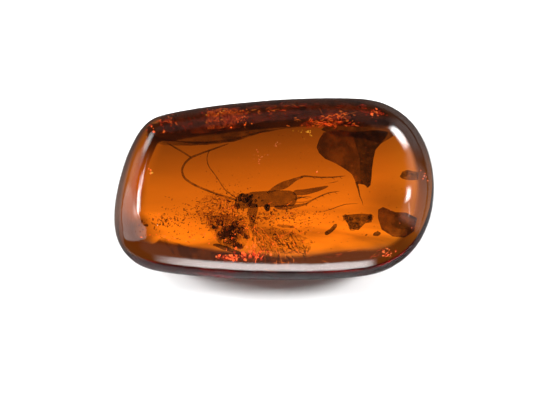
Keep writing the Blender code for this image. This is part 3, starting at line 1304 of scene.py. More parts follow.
@dataclass
class Cricket:
    """The long-horned cricket, lying on its side with its head to the left.

    Limbs are given as x, y, z and radius at stations along them.
    """

    body: tuple = (
        (-3.55, -2.2, 4.65, 0.45), (-3.2, -2.1, 4.65, 0.88), (-2.5, -2.0, 4.65, 1.0),
        (-1.6, -1.92, 4.65, 0.98), (-0.5, -1.88, 4.6, 1.03), (0.8, -1.86, 4.6, 1.06),
        (1.7, -1.84, 4.6, 1.02), (2.3, -1.82, 4.6, 0.86), (2.65, -1.8, 4.6, 0.55),
        (2.8, -1.8, 4.6, 0.15))
    wing_cover: tuple = (
        (2.3, -1.2, 4.9, 0.12), (2.65, -1.15, 4.9, 0.35), (3.7, -1.09, 4.9, 0.37),
        (4.85, -0.82, 4.85, 0.31), (5.75, -0.58, 4.8, 0.23), (6.35, -0.4, 4.8, 0.14),
        (6.62, -0.32, 4.8, 0.04))
    egg_blade: tuple = at_height(4.5, (2.5, -1.95, 0.1), (3.75, -1.62, 0.06), (4.6, -1.68, 0.04))
    head_lumps: tuple = (
        # middle, half sizes, turn, detail, lumps: the head, the mouth and the eye
        ((-3.8, -2.15, 4.7), (1.1, 0.93, 0.78), 14, 4, 0.07),
        ((-4.62, -2.78, 4.6), (0.36, 0.42, 0.4), 40, 3, 0.1),
        ((-4.22, -1.95, 5.28), (0.3, 0.36, 0.24), 20, 3, 0.0))
    hip_middle: tuple = (-0.9, -2.98, 4.6)
    hip_radii: tuple = ((0.4, 0.5, 0.36), (0.32, 0.4, 0.288))
    spine: tuple = ((0.0, 0.0, 0.04), (0.22, -0.2, 0.03), (0.38, -0.3, 0.006))   # x, y, radius
    far_thigh: tuple = (
        (-0.9, -1.12, 4.5, 0.1), (-0.3, -0.8, 4.6, 0.24), (0.33, -0.52, 4.7, 0.38),
        (1.2, -0.18, 4.8, 0.47), (1.86, 0.12, 4.9, 0.36), (2.63, 0.52, 5.0, 0.2),
        (3.5, 0.86, 5.05, 0.13))
    blotches: tuple = (
        (-3.6, -2.15, 5.2, 0.4), (-2.9, -2.45, 5.4, 0.24), (-2.3, -2.25, 5.4, 0.22),
        (-2.75, -1.65, 5.4, 0.24), (-3.9, -1.55, 5.2, 0.34), (-2.2, -2.78, 5.1, 0.16),
        (-3.15, -1.95, 5.4, 0.3), (-1.9, -1.85, 5.4, 0.15))
    far_shin: tuple = (
        (3.3, 0.82, 5.05, 0.13), (3.85, 0.92, 5.05, 0.12), (4.7, 0.86, 5.0, 0.1),
        (5.62, 0.79, 5.0, 0.1), (7.09, 0.8, 4.95, 0.085), (8.0, 0.9, 4.9, 0.07),
        (8.75, 1.0, 4.9, 0.03))
    near_thigh: tuple = (
        (0.0, -2.9, 4.75, 0.15), (0.6, -2.98, 4.75, 0.27), (1.41, -2.98, 4.75, 0.3),
        (2.47, -2.82, 4.7, 0.22), (3.49, -2.62, 4.7, 0.15), (4.0, -2.5, 4.7, 0.12))
    near_shin: tuple = (
        (3.9, -2.53, 4.7, 0.12), (4.49, -2.15, 4.7, 0.11), (4.99, -1.87, 4.7, 0.1),
        (5.85, -1.47, 4.65, 0.09), (6.58, -1.16, 4.65, 0.075), (7.4, -1.0, 4.6, 0.06),
        (7.95, -0.95, 4.6, 0.025))
    front_leg: tuple = at_height(
        4.6, (-2.6, -2.5, 0.5), (-2.66, -3.1, 0.64), (-2.7, -3.8, 0.52), (-2.7, -4.6, 0.36),
        (-2.72, -5.2, 0.24), (-2.66, -5.8, 0.13), (-2.6, -6.25, 0.03))
    thick_feeler: tuple = at_height(
        4.7, (-4.55, -2.1, 0.149), (-5.74, -1.7, 0.149), (-6.64, -1.45, 0.135),
        (-7.75, -1.04, 0.135), (-9.43, -0.35, 0.142), (-10.67, 0.37, 0.149), (-11.2, 0.9, 0.149),
        (-11.42, 1.62, 0.149), (-11.32, 2.15, 0.149), (-10.95, 2.79, 0.149), (-10.28, 3.36, 0.155),
        (-9.18, 3.82, 0.135), (-7.8, 4.33, 0.121), (-6.6, 4.8, 0.095), (-5.7, 5.12, 0.041))
    thin_feeler: tuple = (
        (-4.6, -1.85, 4.7, 0.081), (-5.48, -1.25, 4.75, 0.075), (-6.21, -0.62, 4.8, 0.069),
        (-7.22, 0.94, 4.85, 0.063), (-8.04, 2.07, 4.85, 0.063), (-8.3, 2.7, 4.85, 0.063),
        (-8.35, 3.25, 4.85, 0.057), (-8.2, 3.9, 4.9, 0.052), (-7.85, 4.3, 4.9, 0.023))
    claws: tuple = (
        at_height(4.7, (2.6, -1.66, 0.07), (3.5, -1.72, 0.06), (4.2, -1.9, 0.02)),
        at_height(4.6, (2.7, -2.3, 0.06), (3.6, -2.28, 0.05), (4.5, -2.05, 0.02)),
        at_height(4.6, (6.6, 0.1, 0.02), (7.3, 0.22, 0.04), (7.9, 0.42, 0.02)),
        at_height(4.6, (-4.7, -2.7, 0.1), (-5.1, -3.1, 0.07), (-5.2, -3.5, 0.03)),
        at_height(4.7, (-4.4, -2.9, 0.09), (-4.6, -3.4, 0.06), (-4.4, -3.8, 0.02)))

    def sculpt_trunk(self, clay: Sculptor) -> None:
        """Model the head and the ringed body.

        Args:
            clay: The sculptor to model with.
        """
        clay.tube(self.body, sides=28, steps=5, flat=0.86, material=Part.BODY, ripple=0.035)
        for middle, radii, turn, detail, lumps in self.head_lumps:
            clay.blob(middle, radii, turn, detail, lumps, material=Part.HEAD)
        for x, y, z, size in self.blotches:
            clay.blob((x, y, z), (size, size * 0.8, 0.12), turn=x * 50, lumps=0.25, grain=3,
                      material=Part.HEAD)

    def sculpt_limbs(self, clay: Sculptor) -> None:
        """Model the legs, with spines on the shins, the wing covers and the egg blade.

        Args:
            clay: The sculptor to model with.
        """
        for thigh in (self.far_thigh, self.near_thigh):
            clay.tube(thigh, sides=14, steps=5, flat=0.8, material=Part.LEG)
        for shin in (self.far_shin, self.near_shin):
            clay.tube(shin, material=Part.LEG)
            for x, y, z, _ in shin[2:-1]:
                spine = tuple((x + dx, y + dy, z, radius) for dx, dy, radius in self.spine)
                clay.tube(spine, sides=4, steps=1, material=Part.LEG)
        clay.tube(self.front_leg, sides=14, steps=5, flat=0.6, material=Part.LEG)
        for radii in self.hip_radii:
            clay.blob(self.hip_middle, radii, turn=-6, lumps=0.14, grain=2, material=Part.HEAD)
        for claw in self.claws:
            clay.tube(claw, sides=6, steps=3, material=Part.LEG)
        clay.tube(self.wing_cover, sides=20, steps=5, flat=0.42, material=Part.WING)
        clay.tube(self.egg_blade, sides=10, flat=0.6, material=Part.WING)

    def sculpt_feelers(self, clay: Sculptor) -> None:
        """Model the two long ringed feelers."""
        for feeler in (self.thick_feeler, self.thin_feeler):
            clay.tube(feeler, steps=8, material=Part.FEELER, ripple=0.14)

    def finishes(self) -> list[SealedFinish]:
        """Return the finish of each part, in the order of Part.

        Returns:
            The finishes.
        """
        return [
            SealedFinish("dark_cuticle", (0.015, 0.007, 0.003), (0.1, 0.035, 0.01),
                         clouds_per_mm=2.4, opacity=(0.58, 0.36), roughness=0.45),
            SealedFinish("pale_cuticle", (0.03, 0.012, 0.003), (0.16, 0.07, 0.015),
                         clouds_per_mm=1.3, opacity=(0.53, 0.4), roughness=0.5),
            # the legs and the wing covers glow: painted light
            SealedFinish("leg_cuticle", (0.05, 0.012, 0.006), (0.16, 0.045, 0.016),
                         clouds_per_mm=1.6, opacity=(0.52, 0.34), glow=0.15),
            SealedFinish("wing_cover", (0.06, 0.012, 0.008), (0.18, 0.05, 0.03),
                         clouds_per_mm=1.2, stretch=(0.4, 2.0, 1.0), opacity=(0.54, 0.4),
                         glow=0.2),
            SealedFinish("feeler", (0.06, 0.016, 0.006), (0.14, 0.04, 0.015),
                         opacity=(0.5, 0.3)),
        ]

    def build(self, shop: Workshop) -> None:
        """Model and dress the cricket.

        Args:
            shop: Where the finished pieces go.
        """
        clay = Sculptor(seed=3)
        self.sculpt_trunk(clay)
        self.sculpt_limbs(clay)
        self.sculpt_feelers(clay)
        shop.seal("cricket_in_amber", clay, "chitin", self.finishes(), ("cricket",))


@dataclass
class PlantScraps:
    """The flakes, chips and slivers of plant and wood."""

    leaf_left: tuple = (
        (9.7, 6.6), (8.2, 6.9), (6.1, 6.55), (5.55, 5.7), (5.2, 4.65), (5.5, 3.92), (6.25, 3.2),
        (7.48, 2.65), (8.46, 2.07), (9.1, 1.63), (9.57, 1.25), (9.87, 0.61), (10.14, 0.0),
        (10.6, 0.0), (10.55, 3.3), (10.2, 4.4))
    leaf_right: tuple = (
        (9.7, 6.6), (10.2, 4.4), (10.55, 3.3), (10.6, 0.0), (11.1, -0.1), (11.5, -0.5),
        (11.83, -0.15), (11.97, 0.74), (12.04, 1.77), (12.24, 3.21), (12.5, 4.3), (12.95, 4.95),
        (13.43, 5.6), (13.9, 6.5), (12.0, 6.8))
    leaf_fold_x: float = 10.4
    leaf_fold_drop: float = 0.1   # how far the fold lies below LEVEL
    leaf_slope: float = 0.1       # how fast the leaf rises to either side of it
    leaf_thickness: float = 0.3
    corner_thickness: float = 0.36
    edge_thickness: float = 0.3
    bark_thickness: float = 0.55
    bark_grains: tuple = (   # x, y and radius
        (8.7, -4.2, 0.3), (9.4, -4.4, 0.24), (9.5, -5.2, 0.42), (10.1, -5.1, 0.3),
        (11.8, -4.2, 0.26), (11.7, -3.95, 0.2), (8.9, -4.6, 0.22))
    grain_lift: float = 0.2
    corner: tuple = (
        (12.67, -3.23), (13.22, -2.85), (14.54, -3.4), (15.82, -3.4), (17.1, -3.96), (16.79, -5.5),
        (15.6, -6.25), (14.2, -6.15), (12.95, -5.45), (12.6, -4.2))
    bark: tuple = (
        (8.3, -3.99), (9.5, -3.82), (10.74, -3.72), (11.97, -3.82), (11.85, -4.7), (11.1, -4.86),
        (10.23, -5.6), (9.24, -5.45), (8.8, -4.6))
    edge: tuple = (
        (15.2, 0.95), (15.5, 1.6), (16.04, 1.82), (16.73, 1.7), (17.4, 1.6), (17.3, 0.66),
        (16.2, 0.57), (15.5, 0.7))
    sliver: tuple = at_height(
        4.6, (-7.5, -7.15, 0.08), (-7.0, -7.2, 0.2), (-6.2, -7.45, 0.26), (-5.3, -7.72, 0.22),
        (-4.4, -8.0, 0.18), (-3.75, -8.2, 0.05))
    rod: tuple = at_height(
        4.6, (6.15, -6.0, 0.12), (6.4, -5.95, 0.24), (6.95, -5.66, 0.22), (7.4, -5.25, 0.24),
        (7.62, -5.05, 0.1))
    pellet_middle: tuple = (12.3, -5.95, 4.6)
    pellet_radii: tuple = (0.42, 0.26, 0.25)
    stalk: tuple = at_height(
        4.5, (10.1, 0.3, 0.16), (10.35, -0.75, 0.1), (10.52, -1.58, 0.06), (10.76, -2.12, 0.04),
        (10.9, -2.7, 0.02))

    def leaf_height(self, x: float, y: float) -> float:
        """Height of the folded leaf at a place: lowest along its fold, which leans with y."""
        away = abs(x - self.leaf_fold_x - 0.1 * y)
        return LEVEL - self.leaf_fold_drop + self.leaf_slope * away

    def build_leaf(self, shop: Workshop) -> None:
        """Model the large dark leaf, folded down its middle.

        Args:
            shop: Where the finished pieces go.
        """
        clay = Sculptor(seed=11)
        for side, outline in enumerate((self.leaf_left, self.leaf_right)):
            clay.flake(outline, self.leaf_thickness, cuts=5, lift=self.leaf_height, roughness=0.1,
                       material=side)
        # both sides of the leaf glow: painted light
        finishes = [
            SealedFinish("leaf_red_side", (0.07, 0.012, 0.006), (0.3, 0.06, 0.025),
                         clouds_per_mm=0.7, opacity=(0.64, 0.48), relief_mm=0.15, glow=0.14),
            SealedFinish("leaf_dark_side", (0.04, 0.014, 0.008), (0.14, 0.05, 0.02),
                         clouds_per_mm=0.9, opacity=(0.76, 0.62), relief_mm=0.15, glow=0.1),
        ]
        shop.seal("dark_leaf", clay, "plant", finishes, ("plant_flake",), CRISP)

    def build_corner(self, shop: Workshop) -> None:
        """Model the reddish flake near the front right corner.

        Args:
            shop: Where the finished pieces go.
        """
        clay = Sculptor(seed=12)
        clay.flake(self.corner, self.corner_thickness, cuts=4, roughness=0.25)
        # its glow is painted light
        reddish = SealedFinish("red_brown_flake", (0.05, 0.011, 0.006), (0.26, 0.05, 0.025),
                               clouds_per_mm=0.9, opacity=(0.72, 0.5), relief_mm=0.2, glow=0.24)
        shop.seal("red_brown_flake", clay, "plant", [reddish], ("corner_flake",), CRISP)

    def build_edge_chip(self, shop: Workshop) -> None:
        """Model the small chip near the right end.

        Args:
            shop: Where the finished pieces go.
        """
        clay = Sculptor(seed=13)
        clay.flake(self.edge, self.edge_thickness, roughness=0.2)
        # its glow is painted light
        chip = SealedFinish("edge_scrap", (0.03, 0.012, 0.008), (0.18, 0.06, 0.04),
                            clouds_per_mm=1.6, opacity=(0.62, 0.3), relief_mm=0.15, glow=0.2)
        shop.seal("edge_scrap", clay, "plant", [chip], ("edge_chip",), CRISP)

    def build_bark(self, shop: Workshop) -> None:
        """Model the pale-centred bark chip, with darker grains on it.

        Args:
            shop: Where the finished pieces go.
        """
        clay = Sculptor(seed=14)
        clay.flake(self.bark, self.bark_thickness, cuts=4, roughness=0.35)
        for x, y, size in self.bark_grains:
            clay.crumb(at_depth(x, y, LEVEL + self.grain_lift), size, 1.3, x * 50, material=1,
                       detail=2)
        finishes = [
            SealedFinish("bark_pale", (0.1, 0.035, 0.012), (0.42, 0.16, 0.04), clouds_per_mm=0.9,
                         opacity=(0.66, 0.3), relief_mm=0.2),
            SealedFinish("bark_dark", (0.02, 0.009, 0.005), (0.1, 0.035, 0.014),
                         clouds_per_mm=3.0, opacity=(0.42, 0.18)),
        ]
        shop.seal("bark_scrap", clay, "bark", finishes, ("bark_chip",), CRISP)

    def build_slivers(self, shop: Workshop) -> None:
        """Model the dark wood sliver, then the short rod, a pellet and the leaf's thin stalk.

        Args:
            shop: Where the finished pieces go.
        """
        wood = SealedFinish("dark_wood", (0.02, 0.009, 0.005), (0.12, 0.045, 0.016),
                            clouds_per_mm=2.5, stretch=(0.4, 1.5, 1.0), opacity=(0.66, 0.46))
        clay = Sculptor(seed=15)
        clay.tube(self.sliver, sides=12, steps=5, flat=0.8, ripple=0.08)
        shop.seal("dark_sliver", clay, "debris", [wood], ("wood_sliver",))
        clay = Sculptor(seed=16)
        clay.tube(self.rod, sides=10, ripple=0.1)
        clay.blob(self.pellet_middle, self.pellet_radii, turn=15, detail=2, lumps=0.3, grain=2)
        clay.tube(self.stalk)
        shop.seal("rod_and_grains", clay, "debris", [wood])

    def build(self, shop: Workshop) -> None:
        """Model and dress all the scraps.

        Args:
            shop: Where the finished pieces go.
        """
        self.build_leaf(shop)
        self.build_corner(shop)
        self.build_edge_chip(shop)
        self.build_bark(shop)
        self.build_slivers(shop)


@dataclass
class Debris:
    """The crumbly lump below the head and the fine specks around the cricket."""

    outline: Outline
    crumb_count: int = 380
    crumb_heights: tuple = (-0.7, 0.8)    # how far crumbs lie below and above LEVEL
    crumb_sizes: tuple = (0.05, 0.19)
    speck_heights: tuple = (3.2, 6.4)
    speck_margin: float = 2.2             # specks keep this far inside the outline
    lump_parts: tuple = (
        # centre x, centre y, radius: the dark heart of the lump
        (-6.4, -6.1, 0.42), (-5.75, -6.5, 0.6), (-5.1, -6.95, 0.5), (-4.3, -7.3, 0.24),
        (-5.75, -5.6, 0.5), (-4.9, -5.1, 0.48), (-4.2, -5.7, 0.36), (-6.6, -4.9, 0.34),
        (-3.5, -6.3, 0.2), (-7.4, -5.4, 0.2), (-5.0, -6.1, 0.4), (-5.4, -5.9, 0.7))
    speck_fields: tuple = (
        # middle x, middle y, spread x, spread y, how many, smallest, largest radius
        (-7.1, -3.2, 1.9, 1.1, 330, 0.05, 0.13),
        (-10.6, -3.8, 2.4, 0.9, 130, 0.05, 0.12),
        (-13.5, -4.7, 1.1, 0.55, 70, 0.08, 0.15),
        (-6.0, -1.1, 1.3, 1.0, 90, 0.04, 0.09),
        (-0.6, -4.1, 2.0, 0.7, 210, 0.05, 0.14),
        (3.4, -3.9, 2.2, 0.7, 110, 0.05, 0.13),
        (0.6, -6.4, 2.4, 0.9, 110, 0.05, 0.12),
        (-5.4, -4.6, 2.0, 0.8, 230, 0.06, 0.14),
        (-9.5, -5.9, 2.6, 0.5, 35, 0.04, 0.09),
        (10.0, -5.6, 3.0, 0.9, 40, 0.03, 0.1),
        (0.0, 0.0, 8.5, 4.2, 170, 0.015, 0.07),
        (3.0, 7.8, 6.0, 0.9, 110, 0.02, 0.07),
        (14.2, -1.2, 1.6, 1.6, 45, 0.02, 0.06))

    def build_lump(self, shop: Workshop) -> None:
        """Model the lump as many crumbs around a few larger ones.

        Args:
            shop: Where the finished pieces go.
        """
        clay = Sculptor(seed=21)
        pick = clay.chance
        for x, y, size in self.lump_parts:
            clay.blob(tuple(at_depth(x, y, LEVEL)), (size, size * 0.85, size * 0.7), x * 70,
                      lumps=0.35, grain=2.5)
        for _ in range(self.crumb_count):
            x, y, size = self.lump_parts[pick.randrange(len(self.lump_parts))]
            angle, far = pick.uniform(0, math.tau), size * pick.uniform(0.5, 1.5)
            place = at_depth(x + far * math.cos(angle), y + far * math.sin(angle) * 0.8,
                             LEVEL + pick.uniform(*self.crumb_heights))
            clay.crumb(place, pick.uniform(*self.crumb_sizes), pick.uniform(1, 2),
                       pick.uniform(0, 360), material=pick.choice((0, 1, 1)))
        # both kinds of crumb glow: painted light
        finishes = [
            SealedFinish("debris_dark", (0.02, 0.007, 0.004), (0.12, 0.035, 0.012),
                         clouds_per_mm=1.6, opacity=(0.34, 0.1), glow=0.2),
            SealedFinish("debris_brown", (0.1, 0.03, 0.01), (0.35, 0.12, 0.04),
                         clouds_per_mm=4.0, opacity=(0.32, 0.12), glow=0.3),
        ]
        shop.seal("crumbly_lump", clay, "debris", finishes, ("debris_clump",))

    def build_specks(self, shop: Workshop) -> None:
        """Scatter the fine specks, thickest in front of the head and below the body.

        Args:
            shop: Where the finished pieces go.
        """
        clay = Sculptor(seed=22)
        pick = clay.chance
        for x, y, wide, deep, count, least, most in self.speck_fields:
            for _ in range(count):
                place = at_depth(x + pick.gauss(0, wide), y + pick.gauss(0, deep),
                                 pick.uniform(*self.speck_heights))
                if not self.outline.holds(place, self.speck_margin):
                    continue
                size = least + (most - least) * pick.random() ** 3
                clay.crumb(place, size, pick.choice((1.0, 1.0, 1.4, 2.2)), pick.uniform(0, 360),
                           material=pick.choice((0, 1)))
        finishes = [
            SealedFinish("speck_dark", (0.015, 0.007, 0.004), (0.06, 0.02, 0.01),
                         opacity=(0.55, 0.3)),
            # the red specks glow: painted light
            SealedFinish("speck_red", (0.3, 0.05, 0.012), (0.5, 0.09, 0.02),
                         opacity=(0.4, 0.2), glow=0.3),
        ]
        shop.seal("fine_specks", clay, "debris", finishes)

    def build(self, shop: Workshop) -> None:
        """Model and dress the lump and the specks."""
        self.build_lump(shop)
        self.build_specks(shop)


@dataclass(frozen=True)
class Fan:
    """A fan of needles about a root; angles in degrees, sizes in millimetres.

    The mix weighs dark, bright and brown needles.
    """

    x: float
    y: float
    spread: float
    first_angle: float
    last_angle: float
    reach: float
    length: float
    thick: float
    count: int
    mix: tuple[int, int, int]


@dataclass
class Fibres:
    """The dark seam lines and the fans of needles around the cricket."""

    seams: tuple = (
        at_height(4.6, (-15.3, 6.0, 0.04), (-13.5, 5.65, 0.08), (-10.4, 5.3, 0.1),
                  (-7.3, 5.35, 0.1), (-4.9, 5.75, 0.09), (-1.5, 6.65, 0.08), (1.3, 7.1, 0.04)),
        at_height(4.6, (-13.4, 5.3, 0.05), (-12.2, 4.55, 0.1), (-11.2, 3.95, 0.11),
                  (-10.35, 3.42, 0.1)),
        at_height(4.6, (0.3, -5.15, 0.08), (0.9, -5.25, 0.17), (1.7, -5.3, 0.15), (2.5, -5.4, 0.06)),
        at_height(4.6, (5.4, -3.6, 0.02), (6.9, -3.2, 0.045), (8.6, -2.6, 0.05), (10.2, -2.5, 0.02)),
        at_height(4.6, (-8.8, -2.4, 0.02), (-7.0, -1.95, 0.04), (-5.2, -2.2, 0.04)))
    fans: tuple[Fan, ...] = (
        Fan(-2.1, -5.5, 0.4, -78, -15, 4.8, 1.3, 0.055, 110, (4, 4, 5)),
        Fan(0.3, -6.4, 0.9, -65, -35, 1.6, 0.9, 0.06, 46, (4, 3, 3)),
        Fan(1.9, -7.2, 0.9, -62, -40, 0.9, 1.0, 0.09, 30, (6, 2, 1)),
        Fan(3.9, -7.5, 0.25, -115, -75, 0.4, 0.9, 0.09, 8, (6, 1, 0)),
        Fan(-2.6, -5.9, 0.35, -115, -60, 1.0, 1.0, 0.045, 26, (2, 4, 2)),
        Fan(-8.2, -2.6, 1.1, -30, 30, 2.0, 1.3, 0.045, 34, (3, 1, 5)),
        Fan(-5.9, -3.2, 0.8, 20, 100, 0.6, 1.0, 0.045, 36, (3, 2, 4)),
        Fan(-4.6, -5.0, 1.2, -40, 60, 1.0, 1.0, 0.045, 44, (3, 3, 3)),
        Fan(1.2, -4.4, 1.6, -20, 20, 1.2, 0.9, 0.05, 50, (3, 4, 3)),
    )
    bend: float = 0.25                  # how far a needle may turn on its way, in radians
    needle_heights: tuple = (4.0, 5.4)
    needle_rise: float = 0.5            # how far it rises towards its tip
    needle_taper: float = 0.8           # how much of its thickness it loses on its way

    def build_seams(self, shop: Workshop) -> None:
        """Model the dark lines that run through the amber.

        Args:
            shop: Where the finished pieces go.
        """
        clay = Sculptor(seed=31)
        for seam in self.seams:
            clay.tube(seam, steps=6, flat=0.6)
        finish = SealedFinish("seam", (0.03, 0.012, 0.006), (0.12, 0.04, 0.014),
                              opacity=(0.5, 0.3), clouds_per_mm=0.6)
        shop.seal("dark_seams", clay, "debris", [finish])

    def needle(self, clay: Sculptor, root: tuple[float, float], angle: float, start: float,
               length: float, thick: float, material: int) -> None:
        """Add one slightly bent needle that points away from a root.

        Args:
            clay: The sculptor to add it to.
            root: x and y of the root.
            angle: The way it points, in degrees.
            start: How far from the root it starts.
            length: Its length.
            thick: Its radius where it starts.
            material: The material number of its faces.
        """
        pick = clay.chance
        bend = pick.uniform(-self.bend, self.bend)
        level = pick.uniform(*self.needle_heights)
        stations = []
        for share in (0.0, 0.35, 0.7, 1.0):
            far = start + length * share
            turn = math.radians(angle) + bend * share
            x, y = root[0] + far * math.cos(turn), root[1] + far * math.sin(turn)
            stations.append((*at_depth(x, y, level + self.needle_rise * share),
                             thick * (1 - self.needle_taper * share)))
        clay.tube(tuple(stations), sides=4, steps=2, material=material)

    def build_spray(self, shop: Workshop) -> None:
        """Model the fans of needles: some dark, some bright with painted light.

        Args:
            shop: Where the finished pieces go.
        """
        clay = Sculptor(seed=32)
        pick = clay.chance
        for fan in self.fans:
            for _ in range(fan.count):
                root = (fan.x + pick.gauss(0, fan.spread), fan.y + pick.gauss(0, fan.spread * 0.6))
                angle = pick.uniform(fan.first_angle, fan.last_angle)
                start = pick.uniform(0, fan.reach)
                length = pick.uniform(0.3, 1.0) * fan.length
                thick = pick.uniform(0.5, 1.0) * fan.thick
                self.needle(clay, root, angle, start, length, thick,
                            pick.choices((0, 1, 2), fan.mix)[0])
        finishes = [
            SealedFinish("needle_dark", (0.02, 0.008, 0.004), (0.08, 0.025, 0.01),
                         opacity=(0.7, 0.4)),
            # the bright and the brown needles glow: painted light
            SealedFinish("needle_bright", (0.9, 0.26, 0.06), (1.0, 0.4, 0.12),
                         opacity=(0.6, 0.35), glow=1.0),
            SealedFinish("needle_brown", (0.2, 0.06, 0.015), (0.4, 0.13, 0.04),
                         opacity=(0.5, 0.25), glow=0.25),
        ]
        shop.seal("needle_spray", clay, "debris", finishes)

    def build(self, shop: Workshop) -> None:
        """Model and dress the seams and the spray."""
        self.build_seams(shop)
        self.build_spray(shop)


class Hue(IntEnum):
    """Colours that a glint may have."""

    PINK = 0
    RED = 1
    ORANGE = 2
    YELLOW = 3
    HOT = 4


PINK, RED, ORANGE, YELLOW, HOT = Hue
# painted glints and painted light: every hue glows
HUE_FINISHES = [   # in the order of Hue
    SealedFinish("glow_pink", (0.9, 0.22, 0.14), (1.0, 0.42, 0.3), opacity=(0.6, 0.35), glow=0.9),
    SealedFinish("glow_red", (0.6, 0.04, 0.015), (1.0, 0.1, 0.035), opacity=(0.5, 0.25),
                 glow=0.55),
    SealedFinish("glow_orange", (0.8, 0.22, 0.04), (1.0, 0.38, 0.1), opacity=(0.6, 0.35),
                 glow=0.6),
    SealedFinish("glow_yellow", (0.9, 0.55, 0.12), (1.0, 0.75, 0.22), opacity=(0.7, 0.45),
                 glow=0.7),
    SealedFinish("glow_hot", (1.0, 0.16, 0.06), (1.0, 0.34, 0.16), opacity=(0.6, 0.35), glow=1.2),
]


@dataclass
class Glints:
    """Tiny bubbles and cracks as glowing grains: painted glints where they would catch the light."""

    outline: Outline
    margin: float = 1.1        # they keep this far inside the outline
    height_play: float = 0.3
    turn_play: float = 22.0    # degrees
    flatness: float = 0.4
    clusters: tuple = (
        # middle x, middle y, height, spread x, spread y, how many, largest radius, stretch, hues
        (-1.7, 3.3, 7.2, 0.5, 0.45, 22, 0.08, 1.6, (PINK, ORANGE)),
        (0.2, 5.0, 7.2, 0.35, 0.25, 9, 0.07, 1.4, (PINK,)),
        (5.3, 1.55, 7.2, 0.08, 0.06, 3, 0.11, 1.2, (PINK, YELLOW)),
        (6.85, 1.85, 7.2, 0.04, 0.1, 2, 0.07, 1.2, (PINK,)),
        (-4.6, 3.2, 7.0, 0.5, 0.3, 5, 0.06, 1.3, (ORANGE,)),
        (-15.1, 1.6, 6.8, 0.16, 0.14, 8, 0.17, 1.2, (HOT, YELLOW)),
        (4.0, 6.5, 6.0, 0.5, 0.25, 14, 0.11, 1.6, (YELLOW,)),
        (-6.3, 8.6, 5.4, 1.3, 0.7, 60, 0.1, 1.6, (ORANGE, RED, YELLOW)),
        (-4.2, 8.0, 5.4, 0.5, 0.3, 24, 0.1, 1.6, (HOT, RED, ORANGE)),
        (-0.6, 8.9, 5.4, 1.2, 0.25, 20, 0.08, 2.4, (ORANGE, RED)),
        (6.3, 7.7, 5.6, 1.5, 0.3, 70, 0.09, 3.4, (ORANGE, RED)),
        (8.2, 8.6, 5.6, 1.0, 0.3, 34, 0.09, 3.2, (ORANGE,)),
        (11.6, 8.9, 5.4, 0.8, 0.5, 26, 0.09, 2.2, (RED,)),
        (-14.0, 7.3, 5.4, 0.8, 0.6, 34, 0.13, 1.5, (RED, RED, HOT)),
        (-5.2, -8.75, 5.6, 1.1, 0.3, 60, 0.2, 1.2, (HOT, RED)),
        (-2.4, -8.5, 5.6, 0.9, 0.4, 60, 0.2, 1.2, (HOT, RED)),
        (-2.2, -7.3, 5.6, 0.8, 0.4, 34, 0.14, 1.2, (HOT, ORANGE, PINK)),
        (14.4, -8.5, 5.6, 1.1, 0.5, 40, 0.14, 1.8, (RED, HOT)),
        (18.3, 1.2, 5.6, 0.3, 0.35, 10, 0.12, 1.4, (HOT, PINK)),
        (12.0, 8.9, 5.6, 0.6, 0.2, 16, 0.16, 1.8, (HOT, RED)),
        (2.0, -4.6, 5.8, 2.2, 0.9, 60, 0.06, 1.6, (ORANGE, PINK)),
        (-5.0, -6.4, 5.8, 1.8, 0.8, 70, 0.08, 1.4, (HOT, ORANGE)),
        (-6.2, -2.9, 5.8, 1.0, 0.8, 60, 0.055, 1.4, (ORANGE, PINK)),
        (0.4, -3.9, 5.8, 2.0, 0.5, 90, 0.07, 1.3, (ORANGE, YELLOW)),
        (11.0, 2.5, 6.4, 0.8, 2.0, 12, 0.06, 1.2, (PINK, YELLOW)),
        (15.0, -4.4, 6.2, 1.2, 1.0, 10, 0.08, 1.2, (RED, PINK)),
        (-9.5, -4.4, 6.0, 3.0, 1.2, 70, 0.06, 1.3, (ORANGE, HOT)),
        (-14.4, -4.3, 6.0, 0.5, 0.4, 24, 0.08, 1.2, (HOT, ORANGE)),
        (-9.4, -6.3, 5.8, 2.8, 0.3, 60, 0.08, 2.6, (HOT, ORANGE)),
    )

    def build(self, shop: Workshop) -> None:
        """Scatter the glints of each cluster.

        Args:
            shop: Where the finished pieces go.
        """
        clay = Sculptor(seed=41)
        pick = clay.chance
        for x, y, z, wide, deep, count, most, stretch, hues in self.clusters:
            for _ in range(count):
                place = at_depth(x + pick.gauss(0, wide), y + pick.gauss(0, deep),
                                 z + pick.uniform(-self.height_play, self.height_play))
                size = most * (0.25 + 0.75 * pick.random() ** 2)
                if not self.outline.holds(place, self.margin):
                    continue
                clay.crumb(place, size, stretch, pick.gauss(0, self.turn_play),
                           flat=self.flatness, material=pick.choice(hues))
        shop.seal("glints", clay, "debris", HUE_FINISHES)


@dataclass(frozen=True)
class Tangle:
    """A tangle of glowing threads about a place: sizes in millimetres, angles in degrees."""

    x: float
    y: float
    z: float
    wide: float
    deep: float
    count: int
    length: float
    heading: float
    wander: float
    thick: float
    hues: tuple[Hue, ...]


@dataclass(frozen=True)
class Veil:
    """A thin uneven crack or cloud inside the amber, or a dark sheet of painted shade: its height,
    looks and corners. Its glow is painted light.
    """

    name: str
    height: float
    dark: Triple
    light: Triple
    clouds_per_mm: float
    opacity: tuple[float, float]
    glow: float
    corners: tuple
    stretch: Triple = (1.0, 1.0, 1.0)

    @property
    def finish(self) -> SealedFinish:
        """The veil's finish."""
        return SealedFinish(self.name, self.dark, self.light, self.clouds_per_mm, self.stretch,
                            self.opacity, glow=self.glow)


